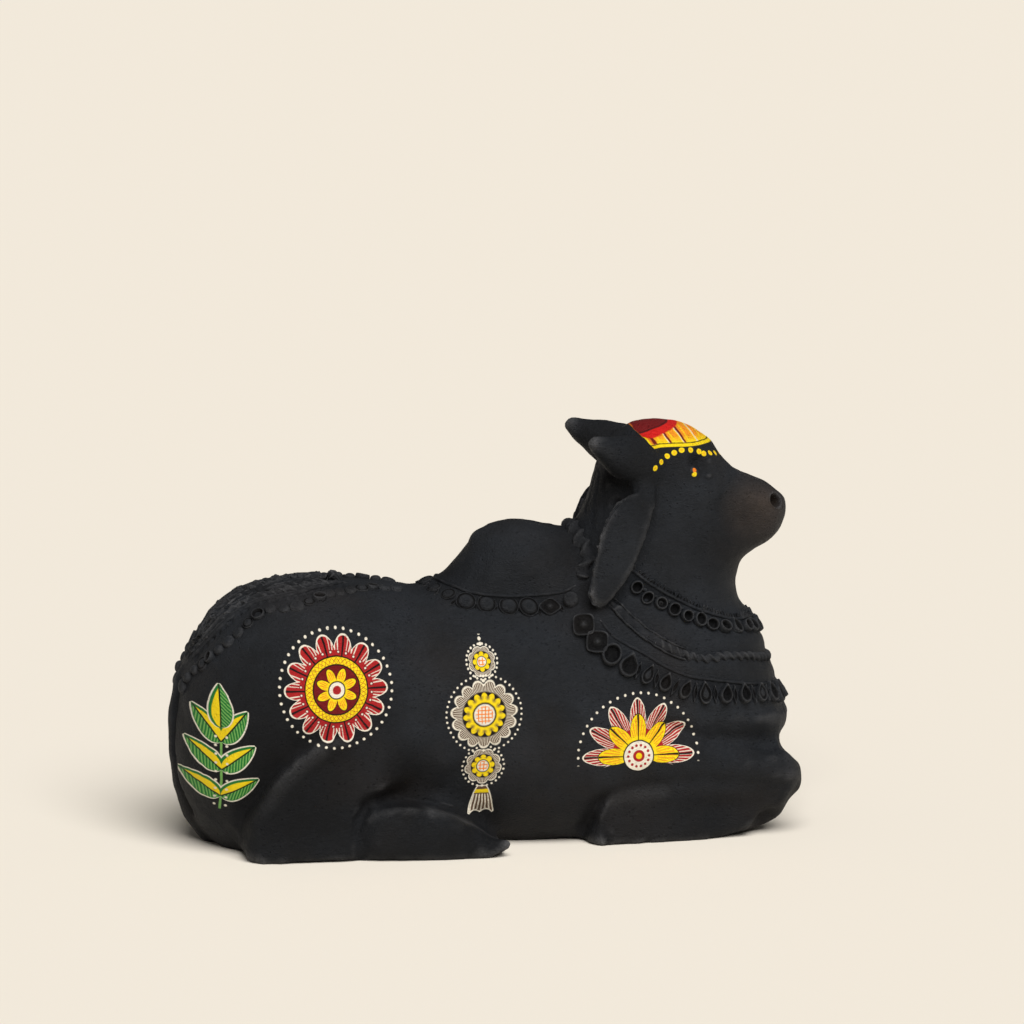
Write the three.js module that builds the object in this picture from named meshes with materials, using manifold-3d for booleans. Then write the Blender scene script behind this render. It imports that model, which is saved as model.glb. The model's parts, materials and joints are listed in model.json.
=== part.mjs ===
// A bull lying on its folded legs with its head raised, modelled in clay as one solid piece
// and smoked black in the kiln. Relief necklaces, a garland round the hump and a beaded
// crupper cloth on the rump are pressed on by hand.
// Millimetres, +Z up, +X towards the head. The origin is under the middle of the figure, on
// the surface it stands on. The figure is the same on both sides of the XZ plane.
import * as THREE from "three";
import { mergeVertices } from "three/addons/utils/BufferGeometryUtils.js";
import Module from "manifold-3d";

const wasm = await Module();
wasm.setup();

// The figure's length from rump to folded knees. Its free forms are given as shares of this
// length: 1 share is a hundredth of it, along X from -50 at the rump to 50 at the knees,
// across from 0 in the middle to the side, and up from 0 at the base.
const FIGURE_LENGTH = 300;
const SHARE = FIGURE_LENGTH / 100;

// The size of the facets, in shares: the trunk is coarser than the head and neck.
const TRUNK_FACET = 3.9;
const LEG_FACET = 2.8;
const HEAD_FACET = 2.6;
const PELLET_SIDES = 5;

// Side outlines

// A closed smooth curve through [along, up] points, as a list of points close together.
function outlineThrough(points) {
  const stepsBetweenPoints = 4;
  const curve = new THREE.CatmullRomCurve3(
    points.map(([along, up]) => new THREE.Vector3(along, 0, up)),
    true,
    "centripetal",
  );
  return curve.getPoints(points.length * stepsBetweenPoints).map((p) => [p.x, p.z]);
}

// How far a point lies inside an outline. It is negative outside.
function depthInside(outline, along, up) {
  let nearest = Infinity;
  let inside = false;
  for (let i = 1; i < outline.length; i++) {
    const [ax, az] = outline[i - 1];
    const [bx, bz] = outline[i];
    const dx = bx - ax;
    const dz = bz - az;
    const t = THREE.MathUtils.clamp(
      ((along - ax) * dx + (up - az) * dz) / (dx * dx + dz * dz),
      0,
      1,
    );
    nearest = Math.min(nearest, (along - ax - t * dx) ** 2 + (up - az - t * dz) ** 2);
    if (az > up !== bz > up && along < ax + ((up - az) / dz) * dx) inside = !inside;
  }
  return inside ? Math.sqrt(nearest) : -Math.sqrt(nearest);
}

// Girths between anchors, each [along, up, half width, depth of the rounded edge].
function girthBetween(anchors) {
  const softness = 6;
  return (along, up) => {
    let total = 0;
    let half = 0;
    let edge = 0;
    for (const [x, z, anchorHalf, anchorEdge] of anchors) {
      const weight = ((along - x) ** 2 + (up - z) ** 2 + softness) ** -2;
      total += weight;
      half += weight * anchorHalf;
      edge += weight * anchorEdge;
    }
    return { half: half / total, edge: edge / total };
  };
}

// A rounded form that fills a side outline: as wide as its girth in the middle, and rounding
// off to nothing at the outline. The function it gives is negative inside.
function form({ points, girth, middle = () => 0 }) {
  const outline = outlineThrough(points);
  const girthAt = girthBetween(girth);
  return (along, across, up) => {
    const { half, edge } = girthAt(along, up);
    const rim = Math.max(0, 1 - depthInside(outline, along, up) / edge);
    const side = (across - middle(along, up)) / half;
    const radius = Math.hypot(rim, side);
    const slope = Math.hypot(rim / edge, side / half);
    return slope < 1e-6 ? -Math.min(edge, half) : (radius * (radius - 1)) / slope;
  };
}

// The joint of two forms, with clay smoothed into the corner over a width.
function join(a, b, width) {
  const overlap = Math.max(width - Math.abs(a - b), 0) / width;
  return Math.min(a, b) - (overlap * overlap * width) / 4;
}

const trunk = form({
  points: [
    [-40, -2], [-43.4, 0.2], [-46, 3], [-48, 7.3], [-49.3, 12], [-49.5, 17], [-48.9, 24],
    [-46.8, 29.8], [-43, 36.2], [-38.3, 39.7], [-33.5, 41.2], [-28.5, 41.9], [-21, 41.3],
    [-15, 40.2], [-10, 39.2], [0, 38.5], [12, 36.5], [23, 32.5], [31, 27.5], [37, 21],
    [39, 14], [38, 6], [34, -1.5], [0, -2],
  ],
  girth: [
    [-35, 18, 21.5, 19.5],
    [-12, 18, 19.5, 18.5],
    [-6, 9, 16.8, 17],
    [12, 18, 17.5, 17],
    [32, 14, 14.5, 12],
  ],
});

const neckAndHead = form({
  points: [
    [13.5, 46.5], [15.3, 49.8], [16.6, 52.5], [17.4, 55.5], [18.6, 59.3], [21, 62.6],
    [24.2, 64.4], [27.5, 64.9], [31, 64.3], [34, 62.9], [36.4, 60.8], [38.5, 58.3],
    [40.9, 56.5], [43.8, 55.3], [46.4, 53.8], [48, 51.6], [48, 49], [47.2, 47],
    [45.6, 45.2], [43.3, 43.9], [41.1, 42.3], [40.1, 39.8], [40, 37.6], [40.8, 35.7],
    [42.2, 33.9], [43.3, 32.4], [43.9, 29.2], [45.1, 26], [46.9, 22], [48.1, 18.6],
    [47.9, 16], [46.3, 13.6], [44, 8], [40, 2], [30, 0], [18, 10], [10, 25], [8, 38],
  ],
  girth: [
    [45.5, 49, 5.2, 4.5],
    [40, 52, 6, 4.5],
    [32, 55, 8.2, 7],
    [24, 59, 7.5, 6],
    [34, 45, 8.6, 8],
    [25, 42, 10, 9],
    [22, 30, 13, 10],
    [36, 20, 14, 10],
  ],
});

const hump = form({
  points: [
    [-10, 38.5], [-6.3, 41.3], [-3.6, 44.2], [-1.3, 47], [1.2, 48.8], [4.5, 49.5],
    [8, 49.2], [11.5, 48.2], [15, 46.5], [17, 42], [12, 36], [0, 35],
  ],
  girth: [[5, 42, 8.8, 7.5]],
});

const thigh = form({
  points: [
    [-39.4, -1.5], [-40.6, 4], [-40.1, 7], [-38.5, 10], [-36, 12.8], [-32.5, 15.4],
    [-28.5, 18], [-24.6, 21], [-20.2, 24.2], [-15.9, 25.6], [-11.6, 24.2], [-9.5, 20.5],
    [-10.3, 16.3], [-12.9, 12.6], [-16.6, 9.6], [-19.5, 7], [-20.3, 3.4], [-20.4, -2],
  ],
  girth: [[-27, 8, 7, 4.6]],
  middle: (along, up) => 14.6 - 0.06 * up,
});

const hindFoot = form({
  points: [
    [-22.2, 0], [-22.2, 4.9], [-21.3, 7.8], [-19.2, 9.3], [-16.1, 9.9], [-12.4, 9.5],
    [-8.6, 8], [-5.1, 5.8], [-2, 3.2], [0.1, 1.3], [0.4, -0.8], [-2, -2], [-20, -2],
  ],
  girth: [[-12, 4, 7.6, 3.4]],
  middle: () => 14.8,
});

const forearm = form({
  points: [
    [22.7, 12], [25.9, 15.4], [30.7, 16.3], [37, 16], [41.7, 15.7], [44.9, 14.6],
    [47.4, 12.7], [48.7, 10.5], [48.7, 8.8], [47.9, 7.3], [45.6, 5.8], [38.6, 5],
    [30.7, 5], [24, 7],
  ],
  girth: [[36, 10, 5.5, 4]],
  middle: (along) => 10 - 0.05 * (along - 25),
});

const cannon = form({
  points: [
    [14, -1.5], [14.6, 3.2], [16.2, 5.5], [18.3, 7.4], [21.8, 8.4], [27.3, 8.7],
    [33.6, 8.5], [40, 8.6], [45.5, 8.5], [48, 7.7], [47.5, 6.1], [46.5, 4.3],
    [45.5, 2.7], [43.5, 1.4], [38.8, 0.2], [32.1, -1], [24, -2], [18, -2.5],
  ],
  girth: [[30, 4, 4.9, 2.6]],
  middle: (along) => 11 - 0.11 * (along - 15),
});

// The whole figure without its horns, ears and relief.
function body(along, y, up) {
  const across = Math.abs(y);
  let clay = join(trunk(along, across, up), neckAndHead(along, across, up), 7);
  clay = join(clay, hump(along, across, up), 2.5);
  clay = join(clay, thigh(along, across, up), 1.2);
  clay = join(clay, forearm(along, across, up), 1);
  clay = join(clay, hindFoot(along, across, up), 0.5);
  return join(clay, cannon(along, across, up), 0.6);
}

// Turning a field into a solid

// Grid lines over stretches, each [start, step between lines]. The last holds only the end.
function gridLines(stretches) {
  const lines = [];
  for (let s = 0; s + 1 < stretches.length; s++) {
    const [start, step] = stretches[s];
    const length = stretches[s + 1][0] - start;
    const count = Math.round(length / step);
    for (let i = 0; i < count; i++) lines.push(start + (length * i) / count);
  }
  return [...lines, stretches.at(-1)[0]];
}

// The slope of a field at a point.
function slopeAt(field, [x, y, z]) {
  const reach = 0.04;
  return [
    (field(x + reach, y, z) - field(x - reach, y, z)) / (2 * reach),
    (field(x, y + reach, z) - field(x, y - reach, z)) / (2 * reach),
    (field(x, y, z + reach) - field(x, y, z - reach)) / (2 * reach),
  ];
}

// Where a field is zero between a point inside and a point outside, and which way is out.
function crossingBetween(field, inside, outside) {
  const rounds = 12;
  let [a, b] = [inside, outside];
  for (let round = 0; round < rounds; round++) {
    const middle = a.map((v, n) => (v + b[n]) / 2);
    if (field(...middle) < 0) a = middle;
    else b = middle;
  }
  const out = new THREE.Vector3(...slopeAt(field, a)).normalize();
  return { point: new THREE.Vector3(...a), out };
}

// The point of a grid cell that lies best on all the surfaces that cross the cell's edges, so
// that a crease inside the cell stays sharp.
function pointOfCell(crossings, low, high) {
  const pullToMiddle = 0.08;
  const middle = new THREE.Vector3();
  for (const { point } of crossings) middle.addScaledVector(point, 1 / crossings.length);
  const m = new THREE.Matrix3().identity().multiplyScalar(pullToMiddle);
  const offset = new THREE.Vector3();
  for (const { point, out } of crossings) {
    const depth = point.clone().sub(middle).dot(out);
    const n = out.toArray();
    for (let row = 0; row < 3; row++) {
      for (let column = 0; column < 3; column++) m.elements[column * 3 + row] += n[row] * n[column];
    }
    offset.addScaledVector(out, depth);
  }
  return offset.applyMatrix3(m.invert()).add(middle).clamp(low, high);
}

// The surface where a field is zero, as one closed mesh with a vertex in each grid cell that
// the surface crosses.
function surfaceOf(field, xs, ys, zs) {
  const lines = [xs, ys, zs];
  const counts = lines.map((l) => l.length);
  const at = (i, j, k) => (k * counts[1] + j) * counts[0] + i;
  const place = (cell) => cell.map((n, axis) => lines[axis][n]);
  const values = new Float64Array(counts[0] * counts[1] * counts[2]);
  for (let k = 0; k < counts[2]; k++) {
    for (let j = 0; j < counts[1]; j++) {
      for (let i = 0; i < counts[0]; i++) values[at(i, j, k)] = field(xs[i], ys[j], zs[k]);
    }
  }
  fillPinches(values, counts, at);
  const moved = (cell, axis, by) => cell.map((n, i) => (i === axis ? n + by : n));
  const crossings = new Map();
  const crossing = (low, axis) => {
    const high = moved(low, axis, 1);
    const inside = values[at(...low)] < 0;
    if (inside === values[at(...high)] < 0) return null;
    const key = at(...low) * 3 + axis;
    if (!crossings.has(key)) {
      const ends = inside ? [low, high] : [high, low];
      crossings.set(key, crossingBetween(field, ...ends.map(place)));
    }
    return crossings.get(key);
  };
  const positions = [];
  const vertices = new Map();
  const vertexOf = (cell) => {
    const key = at(...cell);
    if (!vertices.has(key)) {
      const found = [];
      for (let axis = 0; axis < 3; axis++) {
        for (let side = 0; side < 4; side++) {
          const low = moved(moved(cell, (axis + 1) % 3, side & 1), (axis + 2) % 3, side >> 1);
          const hit = crossing(low, axis);
          if (hit) found.push(hit);
        }
      }
      const low = new THREE.Vector3(...place(cell));
      const high = new THREE.Vector3(...place(cell.map((n) => n + 1)));
      vertices.set(key, positions.length / 3);
      positions.push(...pointOfCell(found, low, high).toArray());
    }
    return vertices.get(key);
  };
  const triangles = [];
  for (let k = 0; k < counts[2]; k++) {
    for (let j = 0; j < counts[1]; j++) {
      for (let i = 0; i < counts[0]; i++) {
        for (let axis = 0; axis < 3; axis++) {
          const here = [i, j, k];
          const [u, v] = [(axis + 1) % 3, (axis + 2) % 3];
          if (here[axis] + 1 === counts[axis] || here[u] === 0 || here[v] === 0) continue;
          if (!crossing(here, axis)) continue;
          const ring = [
            vertexOf(moved(moved(here, u, -1), v, -1)),
            vertexOf(moved(here, v, -1)),
            vertexOf(here),
            vertexOf(moved(here, u, -1)),
          ];
          if (values[at(...here)] >= 0) ring.reverse();
          triangles.push(...splitQuad(positions, ring));
        }
      }
    }
  }
  return { positions, triangles };
}

// Two triangles for four corners, split along the shorter diagonal.
function splitQuad(positions, [a, b, c, d]) {
  const corner = (n) => new THREE.Vector3().fromArray(positions, n * 3);
  const across = corner(a).distanceTo(corner(c));
  const other = corner(b).distanceTo(corner(d));
  return across <= other ? [a, b, c, a, c, d] : [a, b, d, b, c, d];
}

// Where the clay would meet only along an edge of the grid, the gap beside it is filled.
function fillPinches(values, counts, at) {
  let filled = true;
  while (filled) {
    filled = false;
    for (let axis = 0; axis < 3; axis++) {
      const u = (axis + 1) % 3;
      const v = (axis + 2) % 3;
      const place = [0, 0, 0];
      for (place[axis] = 0; place[axis] < counts[axis]; place[axis]++) {
        for (place[u] = 0; place[u] < counts[u] - 1; place[u]++) {
          for (place[v] = 0; place[v] < counts[v] - 1; place[v]++) {
            const face = [[0, 0], [1, 0], [1, 1], [0, 1]].map(([du, dv]) =>
              at(...place.map((w, n) => w + (n === u ? du : 0) + (n === v ? dv : 0))),
            );
            const [a, b, c, d] = face.map((n) => values[n] < 0);
            if (a !== c || b !== d || a === b) continue;
            for (const n of face) values[n] = Math.min(values[n], -0.05);
            filled = true;
          }
        }
      }
    }
  }
}

// A solid from vertex positions in shares and triangles.
function solidFrom({ positions, triangles }) {
  return new wasm.Manifold(
    new wasm.Mesh({
      numProp: 3,
      vertProperties: new Float32Array(positions.map((v) => v * SHARE)),
      triVerts: new Uint32Array(triangles),
    }),
  );
}

// A solid from a closed three.js geometry. A mirrored one has its triangles turned round.
function solidOf(geometry, mirrored = false) {
  geometry.deleteAttribute("normal");
  geometry.deleteAttribute("uv");
  const merged = mergeVertices(geometry, 1e-4);
  const corners = new Uint32Array(merged.index.array);
  return new wasm.Manifold(
    new wasm.Mesh({
      numProp: 3,
      vertProperties: new Float32Array(merged.attributes.position.array),
      triVerts: mirrored ? corners.reverse() : corners,
    }),
  );
}

const halfGrid = gridLines([[HEAD_FACET / 2, HEAD_FACET], [11, TRUNK_FACET], [27, 1]]);
const bodySolid = solidFrom(
  surfaceOf(
    body,
    gridLines([[-53, TRUNK_FACET], [14, HEAD_FACET], [52, 1]]),
    [...halfGrid.map((y) => -y).reverse(), ...halfGrid],
    gridLines([[-6, 4], [-2, LEG_FACET], [17, TRUNK_FACET], [38, HEAD_FACET], [68, 1]]),
  ),
);

// Horns, ears and tail

// A closed solid through rings. Each ring has its centre and two vectors that span it.
function loft(rings, sides) {
  const positions = [];
  const triangles = [];
  for (const { at, wide, high } of rings) {
    for (let s = 0; s < sides; s++) {
      const angle = Math.PI / 2 + (2 * Math.PI * s) / sides;
      const p = at
        .clone()
        .addScaledVector(wide, Math.cos(angle))
        .addScaledVector(high, Math.sin(angle));
      positions.push(p.x, p.y, p.z);
    }
  }
  for (let r = 0; r + 1 < rings.length; r++) {
    for (let s = 0; s < sides; s++) {
      const [a, b] = [r * sides + s, r * sides + ((s + 1) % sides)];
      triangles.push(a, b, b + sides, a, b + sides, a + sides);
    }
  }
  const lastRing = (rings.length - 1) * sides;
  for (let s = 1; s + 1 < sides; s++) {
    triangles.push(0, s + 1, s, lastRing, lastRing + s, lastRing + s + 1);
  }
  const solid = solidFrom({ positions, triangles });
  return solid.volume() > 0 ? solid : solidFrom({ positions, triangles: triangles.reverse() });
}

// Rings along a limb, each [along, across, up, half width, half thickness]. The width lies
// towards a direction.
function limb(stations, direction, side, sides) {
  const centres = stations.map(([x, y, z]) => new THREE.Vector3(x, y * side, z));
  const rings = stations.map(([, , , width, thickness], n) => {
    const before = centres[Math.max(n - 1, 0)];
    const after = centres[Math.min(n + 1, centres.length - 1)];
    const forward = after.clone().sub(before).normalize();
    const thin = forward.clone().cross(new THREE.Vector3(...direction)).normalize();
    const broad = thin.clone().cross(forward).normalize();
    const [wide, high] = [broad.multiplyScalar(width), thin.multiplyScalar(thickness)];
    return { at: centres[n], wide, high };
  });
  return loft(rings, sides);
}

// The same solid on both sides of the figure.
function onBothSides(make) {
  return make(-1).add(make(1));
}

const HORN = [
  [26, 4, 57.6, 4.6, 4.4],
  [22.6, 6.8, 59.3, 4.3, 4.1],
  [19.6, 8.6, 60.8, 3.2, 3.1],
  [17.2, 9.7, 61.9, 2, 2],
  [15.7, 10.2, 62.8, 1.3, 1.3],
  [15, 10.4, 63.2, 0.7, 0.7],
];
const EAR = [
  [24.4, 7, 56.8, 1.9, 1.5],
  [22.9, 9.2, 54, 3, 1.7],
  [21, 10.8, 50.4, 3.5, 1.6],
  [19.4, 11.7, 46.8, 3.6, 1.4],
  [17.9, 12.2, 43.2, 3.3, 1.25],
  [16.6, 12.5, 40.2, 2.6, 1.05],
  [15.8, 12.6, 38.2, 1.8, 0.8],
  [15.4, 12.6, 37.4, 1, 0.5],
];
const TAIL = [
  [-46.6, 0, 29, 1.2, 0.6],
  [-48.2, 0, 25.6, 1.8, 1.1],
  [-49, 0, 20, 2, 1.2],
  [-48.9, 0, 14, 2, 1.2],
  [-47.9, 0, 9, 2.3, 1.4],
  [-46.2, 0, 4.6, 3, 1.7],
  [-44, 0, 1.4, 2.4, 1.5],
  [-42.4, 0, -0.6, 1.2, 0.9],
];

const horns = onBothSides((side) => limb(HORN, [0, 0, 1], side, 9));
const ears = onBothSides((side) => limb(EAR, [1, 0, 0], side, 10));
const tail = limb(TAIL, [0, 1, 0], 1, 8);

// Relief pressed on the clay

// A point moved along the body's slope until it lies on the clay.
function drawnOntoClay(point) {
  const rounds = 5;
  const p = point.clone();
  for (let round = 0; round < rounds; round++) {
    const slope = new THREE.Vector3(...slopeAt(body, p.toArray()));
    p.addScaledVector(slope, -body(p.x, p.y, p.z) / Math.max(slope.lengthSq(), 1e-6));
  }
  return p;
}

// Places at equal steps on a route over the body. The route is given on one side of the
// figure, or goes round to the other side too.
function placesAlong({ points, round = false }, step) {
  const samples = 160;
  const given = points.map(([along, across, up]) => new THREE.Vector3(along, across, up));
  if (round) {
    const far = given.filter((p) => p.y > 0).reverse();
    given.push(...far.map((p) => new THREE.Vector3(p.x, -p.y, p.z)));
  }
  const curve = new THREE.CatmullRomCurve3(given, false, "centripetal");
  const laid = new THREE.CurvePath();
  const path = curve.getSpacedPoints(samples).map(drawnOntoClay);
  for (let i = 1; i < path.length; i++) laid.add(new THREE.LineCurve3(path[i - 1], path[i]));
  const count = Math.max(1, Math.round(laid.getLength() / step));
  const places = laid.getSpacedPoints(count).map(drawnOntoClay);
  return places.map((at, n) => {
    const before = places[Math.max(n - 1, 0)];
    const after = places[Math.min(n + 1, count)];
    const out = new THREE.Vector3(...slopeAt(body, at.toArray())).normalize();
    const along = after.clone().sub(before).normalize();
    return { at, out, along, across: out.clone().cross(along).normalize() };
  });
}

// A raised line of clay along a route, rooted in the body. A thin ridge has three sides and
// a roll has six.
function raisedLine(route, { half, height, sides = 3, step = 4.5 }) {
  const root = sides === 3 ? 0.35 : 0.1;
  const rings = placesAlong(route, step).map(({ at, out, across }, n, all) => {
    const end = n === 0 || n === all.length - 1 ? 0.5 : 1;
    return {
      at: at.clone().addScaledVector(out, -root * height),
      wide: across.multiplyScalar(half * end),
      high: out.clone().multiplyScalar(height * (1 + root) * end),
    };
  });
  return loft(rings, sides);
}

// One pressed pellet, rooted in the body: its half sizes along its route, across it and out
// of the clay, and how wide its flat top is as a share of its width.
function pellet({ at, out, along, across }, [halfLong, halfAcross, height, top], side) {
  const root = 0.4;
  const shape = new THREE.CylinderGeometry(top, 1 + root * (1 - top), 1 + root, PELLET_SIDES)
    .rotateX(Math.PI / 2)
    .translate(0, 0, (1 - root) / 2);
  shape.applyMatrix4(
    new THREE.Matrix4()
      .makeBasis(
        along.clone().multiplyScalar(halfLong * SHARE),
        across.clone().multiplyScalar(halfAcross * SHARE),
        out.clone().multiplyScalar(height * SHARE),
      )
      .setPosition(at.clone().multiplyScalar(SHARE)),
  );
  return solidOf(shape.scale(1, side, 1), side < 0);
}

// Pellets at equal steps along a route on one side, and again on the other side.
function pelletRow(route, step, size) {
  const places = placesAlong(route, step);
  return wasm.Manifold.union(
    [-1, 1].flatMap((side) => places.map((place) => pellet(place, size, side))),
  );
}

const collarRidge = {
  round: true,
  points: [
    [20.6, 9.8, 43.2], [23.5, 10, 41.2], [26.2, 10, 39.4], [30.4, 9.9, 37], [34.5, 9.3, 35.3],
    [38.2, 7.4, 34.2], [41, 4, 33.7], [42.4, 0, 33.4],
  ],
};
const collarRings = {
  points: [
    [22.3, 10, 40], [24.4, 10.2, 38.4], [26.9, 10.4, 37], [30.2, 10.5, 35.3], [33.7, 10.2, 34],
    [36.8, 9.3, 33.2], [39.6, 7.3, 32.7], [41.8, 4.5, 32.2], [43.1, 1.1, 31.8],
  ],
};
const twistedRope = {
  round: true,
  points: [
    [18.5, 11.9, 37.9], [20, 12.2, 36.2], [22.3, 12.8, 34], [25, 13, 32], [28.4, 13, 30],
    [32.5, 12.8, 29.1], [36.4, 12.2, 29.2], [39.6, 10.4, 28.8], [42.6, 6.6, 27.8],
    [44.2, 2.5, 27.2], [44.6, 0, 27.1],
  ],
};
const breastRidge = {
  round: true,
  points: [
    [15.6, 12.2, 36.2], [17.9, 13.4, 33.2], [20.6, 13.8, 31.5], [24.3, 13.8, 29.2],
    [27.9, 13.7, 27.2], [31.6, 13.8, 26], [35.6, 13.7, 25.4], [39.7, 11.9, 24.8],
    [43, 8.4, 24], [45, 4.4, 23.3], [45.8, 0, 23],
  ],
};
const breastPendants = {
  points: [
    [16.3, 14, 31.5], [20.2, 14.6, 28.5], [24.4, 14.5, 26.3], [28.5, 14.4, 24.3],
    [32.5, 14.3, 23.5], [36.1, 14, 23.2], [39.9, 12.4, 22.8], [43.6, 8.4, 22.2],
    [45.6, 4.6, 21.5], [46.4, 1.6, 21],
  ],
};
const humpRidge = {
  round: true,
  points: [
    [12.9, 8.9, 40.4], [10.7, 8.6, 39.3], [5.7, 8, 38.8], [1.2, 7.9, 38.9], [-3.6, 7.1, 39.4],
    [-6.6, 4.6, 40.4], [-7.8, 2, 40.8], [-8.1, 0, 40.8],
  ],
};
const humpDiscs = {
  points: [
    [11.9, 9.3, 38.5], [9, 8.8, 37.3], [5, 8, 36.9], [0.9, 7.8, 37.2], [-3, 7.8, 37.8],
    [-6.2, 6.6, 38.8], [-8.4, 3.9, 39.7], [-9.4, 1.2, 40],
  ],
};
const napeRoll = {
  round: true,
  points: [
    [13.4, 8.7, 41.2], [14.4, 7.7, 43.2], [15, 6.8, 45], [14.2, 5, 46.6], [14, 2.6, 47.6],
    [13.9, 0, 48],
  ],
};
const crupperBeads = {
  points: [
    [-48, 3.6, 25.2], [-47.3, 5.2, 27.2], [-45.2, 8.2, 30.2], [-42.6, 10, 33], [-39.6, 10.8, 35.6],
    [-36, 11, 37.5], [-32, 11, 38.6], [-28.4, 10.2, 39.6], [-25, 8.6, 40.2],
    [-21.6, 7, 40.4], [-18, 5.4, 40.4], [-14.6, 3.9, 40],
  ],
};
// The largest pendants of the breast chain lie on the shoulder, below the ear.
const shoulderPendants = {
  points: [[13.6, 12.6, 34.7], [16.3, 14, 31.5]],
};

const EYE = { at: [31.9, 7.9, 58.1], size: [1.7, 1.1, 0.45, 0.5] };
const NOSTRIL = { at: [45.3, 4, 51.7], size: [0.75, 0.75, 1.1, 0.4] };

// A single pellet on the head, level with the ground, on both sides.
function onHead({ at, size }) {
  const [place] = placesAlong({ points: [at, [at[0] + 1, at[1], at[2]]] }, 1);
  return onBothSides((side) => pellet(place, size, side));
}

const relief = wasm.Manifold.union([
  raisedLine(collarRidge, { half: 0.7, height: 0.55 }),
  raisedLine(twistedRope, { half: 0.75, height: 0.75, sides: 6 }),
  raisedLine(breastRidge, { half: 0.7, height: 0.55 }),
  raisedLine(humpRidge, { half: 0.7, height: 0.5 }),
  raisedLine(napeRoll, { half: 1.1, height: 1, sides: 6 }),
  pelletRow(collarRings, 2.45, [1.1, 1.1, 0.65, 0]),
  pelletRow(breastPendants, 4, [1.2, 1.5, 0.75, 0]),
  pelletRow(shoulderPendants, 4, [1.6, 1.6, 0.9, 0.5]),
  pelletRow(humpDiscs, 3.7, [1.35, 1.3, 0.8, 0.5]),
  pelletRow(crupperBeads, 2.55, [1.1, 1.1, 0.8, 0]),
  onHead(EYE),
]);

// Everything below the surface that the figure stands on is cut away.
function cutFlat(solid) {
  const waste = new THREE.BoxGeometry(2 * FIGURE_LENGTH, FIGURE_LENGTH, FIGURE_LENGTH);
  waste.translate(0, 0, -FIGURE_LENGTH / 2);
  return solid.subtract(solidOf(waste));
}

// The figure is brought to its exact length, with the origin under its middle.
function broughtToLength(solid) {
  const { min, max } = solid.boundingBox();
  const fit = FIGURE_LENGTH / (max[0] - min[0]);
  return solid.translate([-(min[0] + max[0]) / 2, 0, 0]).scale([fit, fit, fit]);
}

// The outer skin alone, without the slivers of air enclosed where parts meet.
function solidThrough(solid) {
  return solid.decompose().reduce((a, b) => (a.volume() > b.volume() ? a : b));
}

// The nostrils are pressed in with the same tool, turned inwards.
const nostrils = onHead({ at: NOSTRIL.at, size: NOSTRIL.size });
const clay = bodySolid.add(horns).add(ears).add(tail).add(relief).subtract(nostrils);
const figure = broughtToLength(cutFlat(solidThrough(clay)));

function geometryOf(solid) {
  const mesh = solid.getMesh();
  const geometry = new THREE.BufferGeometry();
  geometry.setAttribute("position", new THREE.BufferAttribute(mesh.vertProperties, 3));
  geometry.setIndex(new THREE.BufferAttribute(mesh.triVerts, 1));
  geometry.computeVertexNormals();
  return geometry;
}

const blackClay = new THREE.MeshStandardMaterial({
  color: 0x1e1f20,
  roughness: 0.82,
  metalness: 0,
});

const bull = new THREE.Mesh(geometryOf(figure), blackClay);
bull.name = "nandi_bull";

const model = new THREE.Group();
model.add(bull);

export default model;
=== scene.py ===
# %% [markdown]
# This figure is a bull lying on its folded legs, modelled by hand in clay, hung with pressed-on
# necklaces, smoked black in the kiln and then painted with a brush.
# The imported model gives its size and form. Everything below adds to that form what a maker's
# fingers, stick and brush would leave on it, and never moves or resizes it.
# Lengths are given in shares: one share is a hundredth of the figure's length.

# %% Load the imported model
import json
import math
import random

import bmesh
import bpy
import numpy as np
from mathutils import Matrix, Vector, noise
from mathutils.bvhtree import BVHTree

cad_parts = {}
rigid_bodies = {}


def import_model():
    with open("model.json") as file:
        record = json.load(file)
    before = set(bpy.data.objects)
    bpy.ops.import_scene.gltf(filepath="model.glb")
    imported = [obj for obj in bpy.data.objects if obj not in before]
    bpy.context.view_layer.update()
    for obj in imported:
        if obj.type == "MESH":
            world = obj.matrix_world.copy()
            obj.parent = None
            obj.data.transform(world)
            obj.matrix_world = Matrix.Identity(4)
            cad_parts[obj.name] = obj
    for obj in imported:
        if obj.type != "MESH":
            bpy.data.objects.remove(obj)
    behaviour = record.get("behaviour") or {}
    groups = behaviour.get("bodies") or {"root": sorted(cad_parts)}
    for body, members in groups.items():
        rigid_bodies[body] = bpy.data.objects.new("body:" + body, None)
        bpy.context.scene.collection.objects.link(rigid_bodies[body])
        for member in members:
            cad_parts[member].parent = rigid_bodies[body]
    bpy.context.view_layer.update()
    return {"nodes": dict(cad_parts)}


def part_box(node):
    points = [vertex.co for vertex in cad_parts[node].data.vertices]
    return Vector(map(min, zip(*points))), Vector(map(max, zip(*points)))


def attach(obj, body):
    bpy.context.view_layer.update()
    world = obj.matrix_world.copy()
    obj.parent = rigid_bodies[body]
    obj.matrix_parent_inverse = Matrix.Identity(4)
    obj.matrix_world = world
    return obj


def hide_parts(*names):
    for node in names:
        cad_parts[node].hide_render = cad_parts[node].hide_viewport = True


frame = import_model()
scene = bpy.context.scene
lowest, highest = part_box("nandi_bull")
SHARE = (highest.x - lowest.x) / 100
print("one share is", round(SHARE * 1000, 3), "mm")


# %% [markdown]
# The camera comes first, because every later choice is judged through it. It stands far off
# with a long lens, ten degrees towards the tail and a little above the bull, as the
# photograph was taken. A lens as long as this one keeps the near and the far legs the same size.

# %% The camera
PICTURE_SIDE = 1024
METRES_PER_PIXEL = 0.4744e-3
CAMERA_TURN = math.radians(-10)
CAMERA_RAISE = math.radians(9.2)
CAMERA_DISTANCE = 4.0
MIDDLE = Vector((0, 0, 30)) * SHARE
MIDDLE_PIXEL = (480.5, 644.4)

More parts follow.
